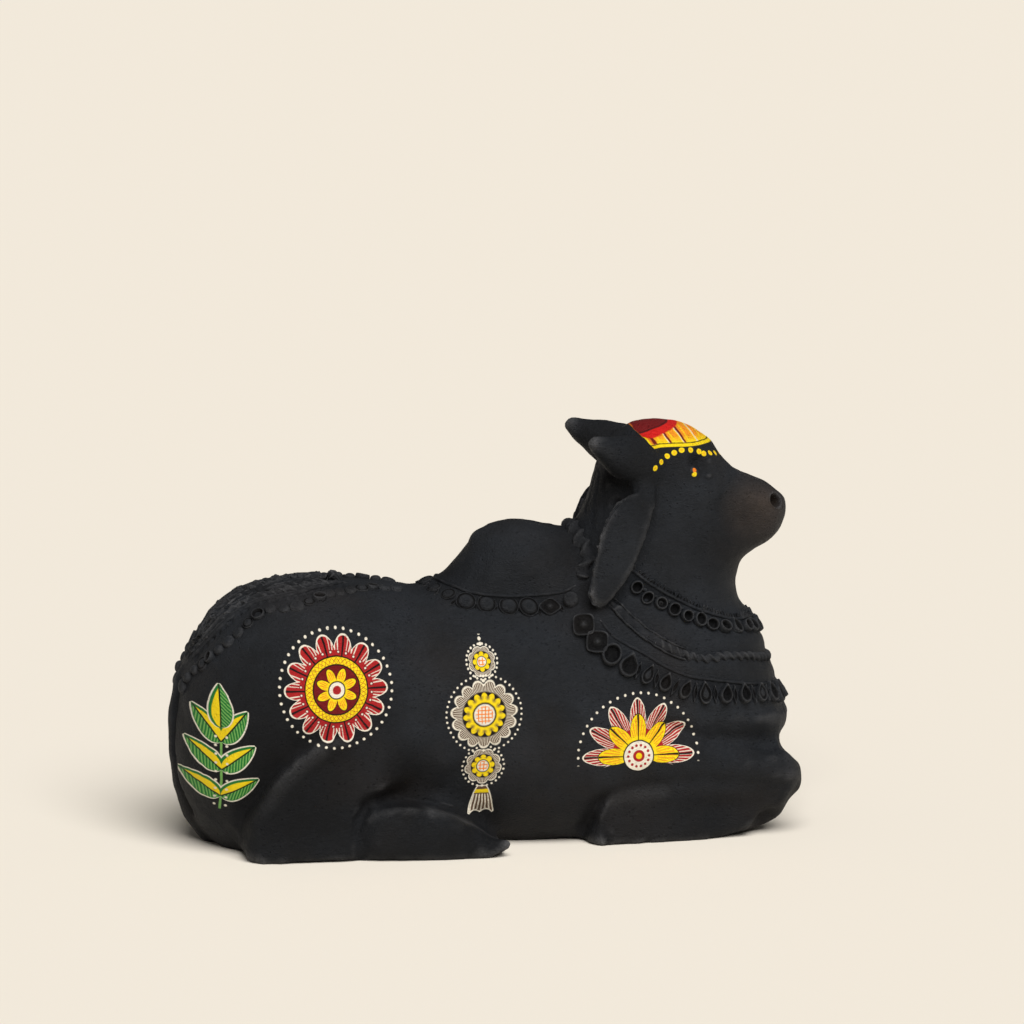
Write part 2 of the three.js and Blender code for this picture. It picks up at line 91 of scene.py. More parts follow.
back = Vector((
    math.sin(CAMERA_TURN) * math.cos(CAMERA_RAISE),
    -math.cos(CAMERA_TURN) * math.cos(CAMERA_RAISE),
    math.sin(CAMERA_RAISE),
))
right = Vector((math.cos(CAMERA_TURN), math.sin(CAMERA_TURN), 0))
up = back.cross(right)
aim = MIDDLE + METRES_PER_PIXEL * (
    right * (PICTURE_SIDE / 2 - MIDDLE_PIXEL[0]) + up * (MIDDLE_PIXEL[1] - PICTURE_SIDE / 2)
)
lens = bpy.data.cameras.new("photo_view")
lens.lens = CAMERA_DISTANCE / METRES_PER_PIXEL * lens.sensor_width / PICTURE_SIDE
camera = bpy.data.objects.new("photo_view", lens)
camera.matrix_world = (
    Matrix.Translation(aim + back * CAMERA_DISTANCE)
    @ Matrix((right, up, back)).transposed().to_4x4()
)
scene.collection.objects.link(camera)
scene.camera = camera
print("lens", round(lens.lens), "mm")


# %% [markdown]
# Finishes are written as arithmetic. A Shade wraps a number that changes over the surface, and
# each + or * on it adds a Math node. A Finish is one material: its node method adds any other
# node, settings first. This keeps a long pattern readable, where a picture of its nodes
# would be a tangle.

# %% Shades and finishes
def adding(operation, turned=False):
    """A method of Shade that adds one Math node, with its values the other way if turned."""
    def method(self, *others):
        return self.math(operation, *((*others, self) if turned else (self, *others)))

    return method


class Shade:
    """A number over the surface, with its Math nodes written as arithmetic."""

    def __init__(self, finish, socket):
        self.finish, self.socket = finish, socket

    def math(self, operation, *values, clamp=False):
        settings = {"operation": operation, "use_clamp": clamp}
        node = self.finish.node("Math", settings, dict(enumerate(values)))
        return Shade(self.finish, node.outputs[0])

    __add__ = __radd__ = adding("ADD")
    __mul__ = __rmul__ = adding("MULTIPLY")
    __sub__, __rsub__ = adding("SUBTRACT"), adding("SUBTRACT", turned=True)
    __truediv__, __rtruediv__ = adding("DIVIDE"), adding("DIVIDE", turned=True)
    __pow__, __abs__ = adding("POWER"), adding("ABSOLUTE")
    sin, fract, root = adding("SINE"), adding("FRACT"), adding("SQRT")
    least, most = adding("MINIMUM"), adding("MAXIMUM")

    def above(self, limit, soft=0.05):
        """1 where the shade is over a limit, 0 where it is under, with a soft edge."""
        slope = 0.5 / soft
        if isinstance(limit, Shade):
            return self.math("MULTIPLY_ADD", self - limit, slope, 0.5, clamp=True)
        return self.math("MULTIPLY_ADD", self, slope, 0.5 - limit * slope, clamp=True)

    def below(self, limit, soft=0.05):
        """1 where the shade is under a limit."""
        return self.above(limit, -soft)


class Finish:
    """A material with its nodes: one method adds a node, and mix and bump use it."""

    def __init__(self, name):
        self.material = bpy.data.materials.new(name)
        self.material.use_nodes = True
        self.tree = self.material.node_tree
        self.shader = self.tree.nodes["Principled BSDF"]

    def feed(self, socket, value):
        if isinstance(value, Shade):
            value = value.socket
        if isinstance(value, bpy.types.NodeSocket):
            self.tree.links.new(value, socket)
        else:
            socket.default_value = value

    def node(self, kind, settings, inputs):
        made = self.tree.nodes.new("ShaderNode" + kind)
        for setting, value in settings.items():
            setattr(made, setting, value)
        for socket, value in inputs.items():
            self.feed(made.inputs[socket], value)
        return made

    def mix(self, under, over, mask):
        """The colour over, laid on the colour under where the mask is 1."""
        inputs = {0: mask, 6: under, 7: over}
        return self.node("Mix", {"data_type": "RGBA"}, inputs).outputs[2]

    def grain(self, vector, scale, detail=2.0, roughness=0.5, curl=0.0):
        inputs = {"Vector": vector, "Scale": scale, "Detail": detail, "Roughness": roughness}
        inputs["Distortion"] = curl
        return Shade(self, self.node("TexNoise", {}, inputs).outputs["Fac"])


def tint(red, green, blue):
    """A colour as a painter's chart gives it, 0 to 255, as the numbers a shader needs."""
    levels = [value / 255 for value in (red, green, blue)]
    return (*(v / 12.92 if v < 0.04045 else ((v + 0.055) / 1.055) ** 2.4 for v in levels), 1)


# %% [markdown]
# Smoked clay is black because the kiln is starved of air and filled with smoke, so carbon
# settles in the surface. It is matt, never quite even, a little blue where it was burnished
# and brown where hands rub it, with the drag marks of the smoothing stick, a sandy grain and
# pin holes. Its colour also carries painted shade, darker towards the bottom and in spots
# where shade falls, and a painted sheen of light grey along a few lit edges. All of this
# reads the object's own coordinates, so it stays put when the figure is turned.

# %% Smoked clay
SOOT = tint(27, 28, 30)
ASH_BLUE = tint(40, 43, 48)
PAINTED_SHADE_BLACK = tint(12, 12, 13)
WEAR_AND_SHEEN_GREY = tint(88, 88, 90)
MUZZLE_BROWN = tint(92, 76, 62)
MUZZLE_AT = (43.2, 51.2)
# painted shade, darkest where shade falls: [along, up], how wide, how soft and how strong
PAINTED_SHADE_SPOTS = [
    ((-34.0, 13.0), 15, 7, 0.72), ((-15.5, 11.8), 5.2, 4, 0.95), ((46.5, 52.1), 0.8, 0.3, 1.0),
    ((21.0, 59.0), 6, 5, 0.5), ((38.0, 47.0), 4, 4, 0.5), ((33.4, 59.6), 1.3, 0.9, 0.55),
    ((-8.0, 43.5), 3, 3, 0.6), ((13.5, 46.0), 2.5, 3, 0.5),
]
MUZZLE_SIZE, MUZZLE_SOFT = 3.4, 3.2
CLAY_ROUGHNESS = 0.52
CLAY_GLOSS = 0.1
BUMP_HEIGHT, BUMP_STRENGTH = 0.0016, 0.75
CLOUD_SCALE, GRAIN_SCALE, DRAG_SCALE, PORE_SCALE, WARM_SCALE = 34, 900, 400, 430, 21
DRAG_TURN, DRAG_STRETCH = math.radians(38), 2.6


def smoked_clay(name, painted_shade_level=0.0):
    """The finish of the bare clay, with the colour and the bump still open to be painted on."""
    finish = Finish(name)
    place = finish.node("TexCoord", {}, {}).outputs["Object"]
    slant = {"Vector": place, "Rotation": (0, DRAG_TURN, 0), "Scale": (1, 1, DRAG_STRETCH)}
    slanted = finish.node("Mapping", {}, slant).outputs[0]
    clouds = finish.grain(place, CLOUD_SCALE, 4, 0.6)
    grain = finish.grain(place, GRAIN_SCALE, 4, 0.7)
    drag = finish.grain(slanted, DRAG_SCALE, 3, 0.6, 2.0)
    pores = finish.node("TexVoronoi", {}, {"Vector": place, "Scale": PORE_SCALE}).outputs["Distance"]
    pits = Shade(finish, pores).below(0.16, 0.07) * clouds.above(0.5, 0.1)
    marks = finish.node("Attribute", {"attribute_name": "wear_and_sheen"}, {}).outputs["Fac"]
    wear_and_sheen = Shade(finish, marks)
    colour = finish.mix(SOOT, ASH_BLUE, clouds.above(0.5, 0.22) * 0.7 + drag.above(0.56, 0.2) * 0.3)
    axes = finish.node("SeparateXYZ", {}, {0: place}).outputs
    along, level = Shade(finish, axes[0]) / SHARE, Shade(finish, axes[2]) / SHARE

    def spot(middle, size, soft):
        ahead, higher = along - middle[0], level - middle[1]
        return (ahead * ahead + higher * higher).root().below(size, soft)

    # painted shade: the colour is darker towards the bottom and in the spots where shade falls
    painted_shade = level.below(11, 6) * 0.5 + painted_shade_level
    for middle, size, soft, strength in PAINTED_SHADE_SPOTS:
        painted_shade = painted_shade.most(spot(middle, size, soft) * strength)
    colour = finish.mix(colour, PAINTED_SHADE_BLACK, painted_shade.least(0.95))
    muzzle = spot(MUZZLE_AT, MUZZLE_SIZE, MUZZLE_SOFT) * clouds.above(0.42, 0.2)
    warm = finish.grain(place, WARM_SCALE, 3).above(0.62, 0.14) * 0.06 + muzzle * 0.42
    colour = finish.mix(colour, MUZZLE_BROWN, warm)
    # light grey on raised places: wear, and painted sheen along the lit edges of the shank, cannon and
    # hind foot
    wear_and_sheen_mask = (wear_and_sheen * grain.above(0.42, 0.2) + wear_and_sheen * 0.3).least(0.9)
    colour = finish.mix(colour, WEAR_AND_SHEEN_GREY, wear_and_sheen_mask)
    height = grain * 0.55 + drag * 0.8 + clouds * 0.6 - pits * 0.9
    rough = CLAY_ROUGHNESS + grain * 0.1 - clouds.above(0.55, 0.2) * 0.08
    return finish, place, colour, height, rough


def close_clay(finish, colour, height, rough):
    """Sets the shader of a clay finish."""
    relief = {"Height": height, "Distance": BUMP_HEIGHT, "Strength": BUMP_STRENGTH}
    shader = finish.shader.inputs
    finish.feed(shader["Base Color"], colour)
    finish.feed(shader["Roughness"], rough)
    finish.feed(shader["Normal"], finish.node("Bump", {}, relief).outputs[0])
    finish.feed(shader["Specular IOR Level"], CLAY_GLOSS)
    return finish.material


def plain_clay(name, painted_shade_level=0.0):
    """Smoked clay with no motif painted on it, its colour darkened all over by the given amount of
    painted shade.
    """
    finish, _, colour, height, rough = smoked_clay(name, painted_shade_level)
    return close_clay(finish, colour, height, rough)


black_clay = plain_clay("smoked_clay")
# a copy of the clay darkened as painted shade, for the hollows of the pellets
painted_shade_clay = plain_clay("painted_shade_clay", 0.9)
print("smoked clay:", len(black_clay.node_tree.nodes), "nodes")


# %% [markdown]
# The flanks carry four painted motifs and the forehead a painted cloth. The motifs are common
# ones of Indian folk painting: a leaf spray, a lotus wheel, a string of marigolds and an open
# lotus, in red, yellow, green, brown and cream, with the fine pen lines and rows of white dots
# of such work. They are worked out from circles, petals and drops in the plane of the flank.

# %% Painted colours
RED = tint(168, 36, 38)
DEEP_RED = tint(112, 26, 28)
BRIGHT_RED = tint(205, 34, 30)
ORANGE = tint(240, 132, 40)
YELLOW = tint(246, 214, 28)
GREEN = tint(36, 118, 52)
LEAF = tint(120, 176, 92)
BROWN = tint(98, 76, 58)
CREAM = tint(238, 230, 212)
INK = tint(26, 22, 22)
INK_LINE = 0.2


class Painting:
    """Strokes laid one over another on the clay, and the cover that they make together."""

    def __init__(self, finish, clay):
        self.finish, self.colour, self.cover = finish, clay, None

    def stroke(self, colour, mask):
        self.colour = self.finish.mix(self.colour, colour, mask)
        self.cover = mask if self.cover is None else self.cover.most(mask)

    def discs(self, radius, *discs, soft=0.05):
        """Discs laid one on another from the widest, each a colour and a size."""
        for colour, size in discs:
            self.stroke(colour, radius.below(size, soft))


def around(across, up):
    """Polar coordinates: the radius, and the turn from -0.5 to 0.5 measured from upright."""
    radius = (across * across + up * up).root()
    turn = across.math("ARCTAN2", across, up) / math.tau
    return radius, turn


def pen_lines(turn, count, limit=0.35, soft=0.3):
    """Fine lines that run out from a middle."""
    return (turn * (math.tau * count)).sin().above(limit, soft)


def petal_wave(turn, count, point=2.0):
    """1 on the middle line of each of a count of petals round a circle, and 0 between them."""
    off_middle = abs((turn * count).fract() - 0.5) * 2
    return 1 - off_middle**point


def dot_ring(radius, turn, at, count, size):
    """Dots on a circle."""
    aside = ((turn * count).fract() - 0.5) * (math.tau * at / count)
    out = radius - at
    return (aside * aside + out * out).root().below(size)


# %% The lotus wheel
WHEEL_PETALS, WHEEL_BEADS, FLOWER_PETALS = 14, 28, 8
BAND_OUTER, BAND_INNER = 4.75, 3.6


def lotus_wheel(painting, across, up):
    """A wheel of red petals round a yellow band and an eight-petalled flower."""
    stroke = painting.stroke
    radius, turn = around(across / 1.08, up / 1.08)
    stroke(CREAM, dot_ring(radius, turn, 8.25, 44, 0.2))
    petals = petal_wave(turn, WHEEL_PETALS, 2.2)
    edge = 5.9 + petals * 1.75
    stroke(CREAM, radius.below(edge))
    inner = radius.below(edge - 0.24)
    stroke(RED, inner)
    rays = pen_lines(turn, WHEEL_PETALS * 6) * radius.above(5.5)
    stroke(CREAM, rays * inner * (1 - petals.above(0.86, 0.03)) * 0.85)
    stroke(INK, petal_wave(turn, WHEEL_PETALS, 1).above(0.9, 0.04) * inner)
    for colour, size in ((DEEP_RED, 0.26), (CREAM, 0.14)):
        stroke(colour, dot_ring(radius, turn, 5.25, WHEEL_BEADS, size) * inner)
    painting.discs(radius, (INK, BAND_OUTER), (YELLOW, BAND_OUTER - INK_LINE))
    lattice = (turn * (math.tau * 40) + radius * 7).sin()
    lattice = lattice.most((turn * (math.tau * 40) - radius * 7).sin()).above(0.93, 0.05)
    stroke(RED, lattice * radius.below(4.5) * radius.above(BAND_INNER))
    painting.discs(radius, (INK, BAND_INNER), (DEEP_RED, BAND_INNER - INK_LINE))
    flower = 1.5 + petal_wave(turn, FLOWER_PETALS, 1.8) * 1.75
    painting.discs(radius, (INK, flower), (YELLOW, flower - 0.16))
    fans = pen_lines(turn, FLOWER_PETALS * 6, 0.3, 0.25) * radius.below(flower - 0.5)
    stroke(ORANGE, fans * radius.above(1.6))
    painting.discs(radius, (INK, 1.3), (CREAM, 1.12), (RED, 0.62))


# %% The string of marigolds
# each marigold: how high its middle is, its radius and its petals
MARIGOLDS = [(21.6, 2.2, 8), (13.6, 5.3, 15), (5.2, 2.9, 9)]
TASSEL_TOP, TASSEL_LENGTH = 2.0, 4.8


def marigold(painting, across, up, size, petals):
    """One marigold: brown petals edged in cream, and a yellow heart."""
    radius, turn = around(across, up)
    painting.stroke(CREAM, dot_ring(radius, turn, size * 1.14, petals * 3, 0.17))
    radius, soft = radius / size, 0.02
    edge = 0.86 + petal_wave(turn, petals, 2.4) * 0.16
    painting.discs(radius, (CREAM, edge), (BROWN, edge - 0.06), soft=soft)
    threads = pen_lines(turn, petals * 7, 0.3) * radius.above(0.66, soft)
    painting.stroke(CREAM, threads * radius.below(edge - 0.08, soft) * 0.85)
    heart = 0.5 + petal_wave(turn + 0.5 / petals, petals, 2) * 0.15
    painting.discs(radius, (INK, 0.68), (YELLOW, heart), soft=soft)
    painting.stroke(BROWN, dot_ring(radius, turn, 0.5, petals, 0.045))
    painting.discs(radius, (INK, 0.37), (CREAM, 0.32), soft=soft)
    lattice = (across * 11).sin().most((up * 11).sin()).above(0.6, 0.2)
    painting.stroke(ORANGE, lattice * radius.below(0.27, soft))


def marigold_string(painting, across, up):
    """Three marigolds on a thread of beads, with a tassel below."""
    stroke = painting.stroke
    step = ((up * 1.35).fract() - 0.5) / 1.35
    bead = (across * across + step * step).root().below(0.26)
    stroke(CREAM, bead * up.above(0.5) * up.below(25.4))
    below = TASSEL_TOP - up
    bell = 0.55 + (below / TASSEL_LENGTH).most(0.001) ** 0.6 * 1.75
    scallop = TASSEL_LENGTH - abs((across * 1.6).sin()) * 0.45
    tassel = abs(across).below(bell) * below.above(0) * below.below(scallop)
    stroke(CREAM, tassel)
    within = abs(across).below(bell - 0.2) * below.above(0.18) * below.below(scallop - 0.22)
    stroke(BROWN, within)
    threads = (across / bell * 21).sin().above(0.2, 0.3)
    stroke(CREAM, threads * within * below.above(1.5) * 0.9)
    stroke(YELLOW, within * below.above(0.7) * below.below(1.3))
    for height, size, petals in MARIGOLDS:
        marigold(painting, across, up - height, size, petals)


# %% The open lotus
FAR_PETALS, NEAR_PETALS, LOTUS_HEART = 12, 8, 2.55


def open_lotus(painting, across, up):
    """An open lotus from the side: a fan of red petals with yellow ones before them."""
    stroke = painting.stroke
    radius, turn = around(across, up)
    fan, dotted, near_fan = (abs(turn).below(half, 0.002) for half in (0.295, 0.27, 0.31))
    stroke(CREAM, dot_ring(radius, turn, 9.75, 46, 0.2) * dotted)
    turned = turn + 0.5 / FAR_PETALS
    outer = 5.2 + petal_wave(turned, FAR_PETALS, 1.7) * 3.9
    stroke(CREAM, radius.below(outer) * fan)
    inner = radius.below(outer - 0.26) * fan
    stroke(RED, inner)
    lines = pen_lines(turn, 108, 0.4) * radius.above(4.4)
    stroke(CREAM, lines * inner * 0.8)
    stroke(INK, petal_wave(turned, FAR_PETALS, 1).above(0.93, 0.03) * inner)
    turned = turn + 0.5 / NEAR_PETALS
    front = 3.0 + petal_wave(turned, NEAR_PETALS, 1.8) * 3.5
    stroke(INK, radius.below(front + 0.16) * near_fan)
    stroke(YELLOW, radius.below(front) * near_fan)
    shade = pen_lines(turn, 64) * radius.above(3.1)
    stroke(ORANGE, shade * radius.below(front - 0.45) * near_fan * 0.8)
    veins = petal_wave(turned, NEAR_PETALS, 1).above(0.93, 0.03)
    stroke(INK, veins * radius.below(front) * near_fan)
    painting.discs(radius, (INK, LOTUS_HEART), (CREAM, LOTUS_HEART - INK_LINE))
    stroke(RED, dot_ring(radius, turn, 1.7, 14, 0.22))
    painting.discs(radius, (RED, 0.95), (YELLOW, 0.5))


# %% The leaf spray
# each pair of leaves: how high on the stem, and how far it leans out in degrees
LEAF_PAIRS = [(2.2, 58), (6.6, 48), (11.0, 36)]


def leaf_spray(painting, across, up):
    """A stem with three pairs of leaves and one at its top, green with yellow and cream."""
    painting.stroke(LEAF, abs(across).below(0.16) * up.above(0) * up.below(14.5))
    folded = abs(across)
    for height, lean in LEAF_PAIRS:
        angle = math.radians(lean)
        aside = folded * math.cos(angle) - (up - height) * math.sin(angle)
        ahead = folded * math.sin(angle) + (up - height) * math.cos(angle)
        paint_leaf(painting, aside, ahead, 6.4, 1.5)
    paint_leaf(painting, across, up - 13.2, 6.6, 1.6)
    step = ((up * 0.72).fract() - 0.5) / 0.72
    out = folded - 0.75
    row = (out * out + step * step).root().below(0.19)
    painting.stroke(CREAM, row * up.above(0.4) * up.below(13))


def paint_leaf(painting, aside, ahead, length, half_width):
    """One leaf from its round end to its point: green, half of it hatched, with a rib."""
    stroke = painting.stroke
    grown = (ahead / length).most(0.0001).least(0.9999)
    inside = grown**0.5 * (1 - grown) ** 0.9 * (half_width * 2.5) - abs(aside)
    within = ahead.above(0, 0.02) * ahead.below(length, 0.02)
    stroke(CREAM, inside.above(-0.2) * within)
    stroke(GREEN, inside.above(0) * within)
    hatching = ((ahead + abs(aside)) * 11).sin().above(0.2, 0.3)
    stroke(LEAF, inside.above(0.1) * within * hatching * aside.above(0))
    stroke(YELLOW, inside.above(0.42) * within * aside.below(-0.1))
    stroke(INK, inside.above(0.1) * within * abs(aside).below(0.1, 0.04))


# %% [markdown]
# The forehead wears a painted cloth: a dark red crown patch, a bright red band, orange and
# yellow tassels parted by thin dark bars, and a yellow hem with an ink line. Below it runs
# a string of yellow dots, and two dabs mark the eye. The dots are balls in space, cut by
# the surface, so that they stay round wherever the forehead curves.

# %% The forehead cloth
CROWN_AT, CROWN_RADIUS = 25.6, 4.3
HEM_HEIGHT, HEM_WIDTH, CLOTH_REAR = 61.85, 0.56, 26.255
# each dark bar between the tassels: where it is, and half its width
TASSEL_BARS = [(25.9, 0.16), (27.1, 0.34), (29.7, 0.2), (32.1, 0.2)]
FOREHEAD_DOTS = [
    (26.3, 9.5, 58.9), (27.4, 8.7, 59.8), (28.5, 7.5, 60.5), (29.7, 7.3, 61.0), (30.9, 7.1, 61.3),
    (32.3, 6.7, 61.2), (33.7, 6.2, 60.9), (34.5, 5.9, 60.5), (35.5, 5.2, 60.2), (36.5, 4.0, 60.0),
    (37.4, 2.2, 59.7), (38.2, 0.5, 59.2),
]
EYE_DABS = [((32.9, 8.3, 58.4), 0.36, ORANGE), ((32.8, 8.1, 57.6), 0.4, YELLOW)]


def touching(at):
    """The place on the clay nearest to a place, in shares, for both sides at once."""
    found = surface.find_nearest(at_shares(at))[0] / SHARE
    return found.x, abs(found.y), found.z


def ball(painting, place, at, size):
    """Where the surface passes through a ball."""
    away = painting.finish.node("VectorMath", {"operation": "DISTANCE"}, {0: place, 1: at})
    return Shade(painting.finish, away.outputs["Value"]).below(size)


def forehead_cloth(painting, along, aside, height, wobble):
    """The painted cloth over the forehead, from its hem up to its crown."""
    stroke = painting.stroke
    risen = height - HEM_HEIGHT
    forward, rear_edge = along + risen * 0.62, CLOTH_REAR - risen * 0.9
    cloth = height.above(HEM_HEIGHT + wobble) * along.above(rear_edge) * along.above(23.7)
    stroke(YELLOW, cloth)
    stroke(INK, risen.above(0.42) * risen.below(HEM_WIDTH) * cloth)
    panel = risen.above(HEM_WIDTH) * cloth * along.above(rear_edge + 0.4)
    stroke(ORANGE, panel * risen.above(1.05, 0.5) * 0.85)
    stroke(ORANGE, panel * forward.below(27.3, 0.3))
    stroke(YELLOW, panel * (forward * 5.2).sin().above(0.75, 0.25) * 0.8)
    stroke(CREAM, panel * (forward * 2.6 + 0.4).sin().above(0.96, 0.04) * 0.7)
    for at, half in TASSEL_BARS:
        stroke(DEEP_RED, panel * abs(forward - at).below(half, 0.08))
    crown_along, crown_aside = (along - CROWN_AT) / CROWN_RADIUS, aside / CROWN_RADIUS
    crown = (crown_along * crown_along + crown_aside * crown_aside).root()
    stroke(BRIGHT_RED, crown.below(1.36, 0.03) * cloth)
    stroke(DEEP_RED, crown.below(1.0, 0.03) * cloth)
    stroke(INK, crown.below(1.0, 0.03) * crown.above(0.93, 0.03) * cloth * 0.7)
    stroke(ORANGE, cloth * along.below(24.0, 0.08) * 0.6)
    finish = painting.finish
    mirrored_place = finish.node("CombineXYZ", {}, {0: along, 1: aside, 2: height}).outputs[0]
    for at in map(touching, FOREHEAD_DOTS):
        stroke(YELLOW, ball(painting, mirrored_place, at, 0.45))
        stroke(ORANGE, ball(painting, mirrored_place, at, 0.2) * 0.5)
    for at, size, colour in EYE_DABS:
        stroke(colour, ball(painting, mirrored_place, touching(at), size))


# %% [markdown]
# Each painting is a finish of its own, the same clay with the strokes over it, and only the part
# of the body under that painting wears it. Where it ends there is bare clay on both sides, so
# no seam shows.

# %% The painted places
# what is painted, the place of its foot, and the part of the body that wears it:
# from [along, up] to [along, up], and how far out from the middle it begins
PAINTED_PLACES = [
    (leaf_spray, (-43.6, 7.6), (-50, 5), (-37, 31), 4),
    (lotus_wheel, (-26.2, 27.2), (-36, 17.5), (-16.4, 37), 9),
    (marigold_string, (-2.6, 8.6), (-9.6, 4), (4.4, 35), 9),
    (open_lotus, (22.2, 14.6), (11.5, 11), (33, 25.8), 9),
    (forehead_cloth, (0, 0), (23, 56), (40, 68), -1),
]


BRUSH_SHAKE, BRUSH_SHAKE_SCALE, PAINT_SHEEN = 0.2, 190, 0.12


def painted_clay(paint, foot):
    """Smoked clay with one painting on it."""
    finish, place, clay, height, rough = smoked_clay(paint.__name__)
    shares = finish.node("VectorMath", {"operation": "SCALE"}, {0: place, "Scale": 1 / SHARE})
    axes = finish.node("SeparateXYZ", {}, {0: shares.outputs[0]}).outputs
    along, side, level = (Shade(finish, socket) for socket in axes)
    shake = (finish.grain(place, BRUSH_SHAKE_SCALE, 2) - 0.5) * BRUSH_SHAKE
    along, level = along + shake, level + shake
    painting = Painting(finish, clay)
    if paint is forehead_cloth:
        paint(painting, along, abs(side), level, shake)
    else:
        paint(painting, along - foot[0], level - foot[1])
    print(paint.__name__, len(finish.tree.nodes), "nodes")
    return close_clay(finish, painting.colour, height, rough - painting.cover * PAINT_SHEEN)


# %% [markdown]
# The body is one lump of clay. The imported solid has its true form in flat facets, so a copy of
# it is rounded by subdivision and then remeshed into small even squares, which is what a
# sculptor does before fine work: after it, clay can be pushed anywhere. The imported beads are
# smoothed away here, because finer ones are pressed on afterwards at the same places.

# %% Helpers for places on the clay
CURVE_PIECES = 12


def at_shares(point, side=-1):
    """A place from [along, aside, up] in shares, on the side that faces the camera."""
    along, aside, height = point
    return Vector((along, aside * side, height)) * SHARE


def smooth_line(points, step):
    """Places about a step apart on a smooth curve through the points."""
    ends = [points[0] * 2 - points[1], *points, points[-1] * 2 - points[-2]]
    fine = []
    for a, b, c, d in zip(ends, ends[1:], ends[2:], ends[3:]):
        for t in (k / CURVE_PIECES for k in range(CURVE_PIECES)):
            fine.append(
                b + (c - a) * (t / 2) + (2 * a - 5 * b + 4 * c - d) * (t * t / 2)
                + (3 * b - a - 3 * c + d) * (t**3 / 2)
            )
    fine.append(points[-1])
    spans = [0.0]
    for a, b in zip(fine, fine[1:]):
        spans.append(spans[-1] + (b - a).length)
    count = max(1, round(spans[-1] / step))
    places, k = [], 0
    for i in range(count + 1):
        wanted = spans[-1] * i / count
        while k < len(spans) - 2 and spans[k + 1] < wanted:
            k += 1
        share = (wanted - spans[k]) / max(spans[k + 1] - spans[k], 1e-9)
        places.append(fine[k].lerp(fine[k + 1], min(max(share, 0), 1)))
    return places


def distance_to(points, line):
    """The distance of each of many points to the nearest place of a line."""
    nearest = np.full(len(points), np.inf)
    for place in line:
        nearest = np.minimum(nearest, np.linalg.norm(points - np.array(place), axis=1))
    return nearest


# %% Where the ornaments run
# [along, aside, up] in shares, on the side that faces the camera
COLLAR_RIDGE = [
    (22.3, 10.3, 43.2), (24.4, 10.5, 41.4), (27.1, 10.5, 39.6), (31.4, 10.2, 37.2),
    (34.7, 9.5, 35.7), (38.8, 7.8, 34.2), (41.7, 4.9, 33.9), (43.4, 0, 33.6),
]
COLLAR_RINGS = [
    (23.2, 10.6, 40.2), (25.3, 10.5, 38.3), (27.9, 10.5, 37.1), (30.3, 10.6, 35.7),
    (32.4, 10.5, 35.0), (34.8, 10.1, 34.0), (37.2, 9.8, 33.3), (39.7, 8.2, 32.9),
    (41.8, 6.3, 32.6), (43.4, 3.6, 32.2), (44.1, 0, 32.0),
]
TWISTED_ROPE = [
    (19.3, 11.5, 38.3), (20.8, 12.6, 36.4), (23.2, 13.5, 34.1), (25.4, 13.7, 32.5),
    (28.1, 13.7, 30.8), (30.6, 13.5, 29.8), (33.5, 13.4, 29.1), (36.3, 13.0, 29.3),
    (38.7, 12.3, 29.2), (42.2, 9.5, 28.4), (45.0, 4.8, 27.5), (45.8, 0, 27.3),
]
BREAST_RIDGE = [
    (16.8, 12.6, 35.7), (18.8, 13.8, 33.2), (21.5, 14.1, 31.5), (24.0, 14.2, 30.1),
    (26.4, 14.2, 28.5), (28.9, 13.9, 27.2), (31.4, 14.0, 26.3), (34.6, 14.2, 25.8),
    (39.1, 13.3, 25.0), (42.6, 10.8, 24.3), (45.6, 6.5, 23.5), (47.0, 0, 23.2),
]
BREAST_PENDANTS = [
    (14.2, 13.2, 35.1), (17.0, 15.1, 31.7), (21.2, 14.8, 28.5), (25.4, 14.6, 26.3),
    (29.6, 14.5, 24.4), (33.6, 14.4, 23.6), (37.2, 14.0, 23.3), (41.0, 12.7, 22.9),
    (44.6, 9.6, 22.5), (46.9, 5.6, 21.8), (47.6, 0, 21.5),
]
HUMP_RIDGE = [
    (13.8, 8.8, 40.6), (11.5, 8.5, 39.5), (6.5, 8.0, 39.1), (1.9, 7.8, 39.2),
    (-2.8, 7.2, 39.7), (-5.8, 4.6, 40.7), (-7.1, 2.0, 41.1), (-7.4, 0, 41.1),
]
HUMP_DISCS = [
    (12.6, 9.9, 38.6), (9.8, 9.3, 37.4), (6.9, 8.2, 37.1), (3.5, 7.4, 37.1), (0.0, 7.5, 37.5),
    (-4.4, 8.0, 38.7), (-6.8, 5.6, 39.8), (-8.5, 2.2, 40.3),
]
NAPE_ROLL = [
    (14.3, 8.6, 41.5), (15.4, 7.9, 43.6), (15.9, 6.8, 45.3), (15.1, 5.1, 46.9),
    (14.9, 2.6, 48.0), (14.8, 0, 48.4),
]
CRUPPER_BEADS = [
    (-47.6, 3.6, 25.4), (-46.9, 5.3, 27.5), (-45.1, 8.4, 30.4), (-42.3, 10.5, 33.0),
    (-39.3, 11.2, 36.0), (-36.0, 10.6, 38.3), (-33.7, 11.1, 38.5), (-30.8, 11.3, 39.1),
    (-27.8, 10.4, 40.1), (-24.6, 8.3, 40.7), (-21.0, 6.6, 40.8), (-17.4, 4.8, 40.8),
    (-14.0, 3.9, 40.4),
]
CRUPPER_RIDGE = [
    (-46.6, 2.9, 29.3), (-44.9, 5.0, 32.5), (-42.3, 6.8, 35.6), (-39.2, 7.2, 38.2),
    (-36.0, 7.4, 39.6), (-32.6, 8.2, 40.2), (-29.0, 7.6, 40.9), (-25.6, 5.6, 41.6),
    (-22.0, 3.6, 41.9),
]
ORNAMENTS = [
    COLLAR_RIDGE, COLLAR_RINGS, TWISTED_ROPE, BREAST_RIDGE, BREAST_PENDANTS, HUMP_RIDGE,
    HUMP_DISCS, NAPE_ROLL, CRUPPER_BEADS,
]
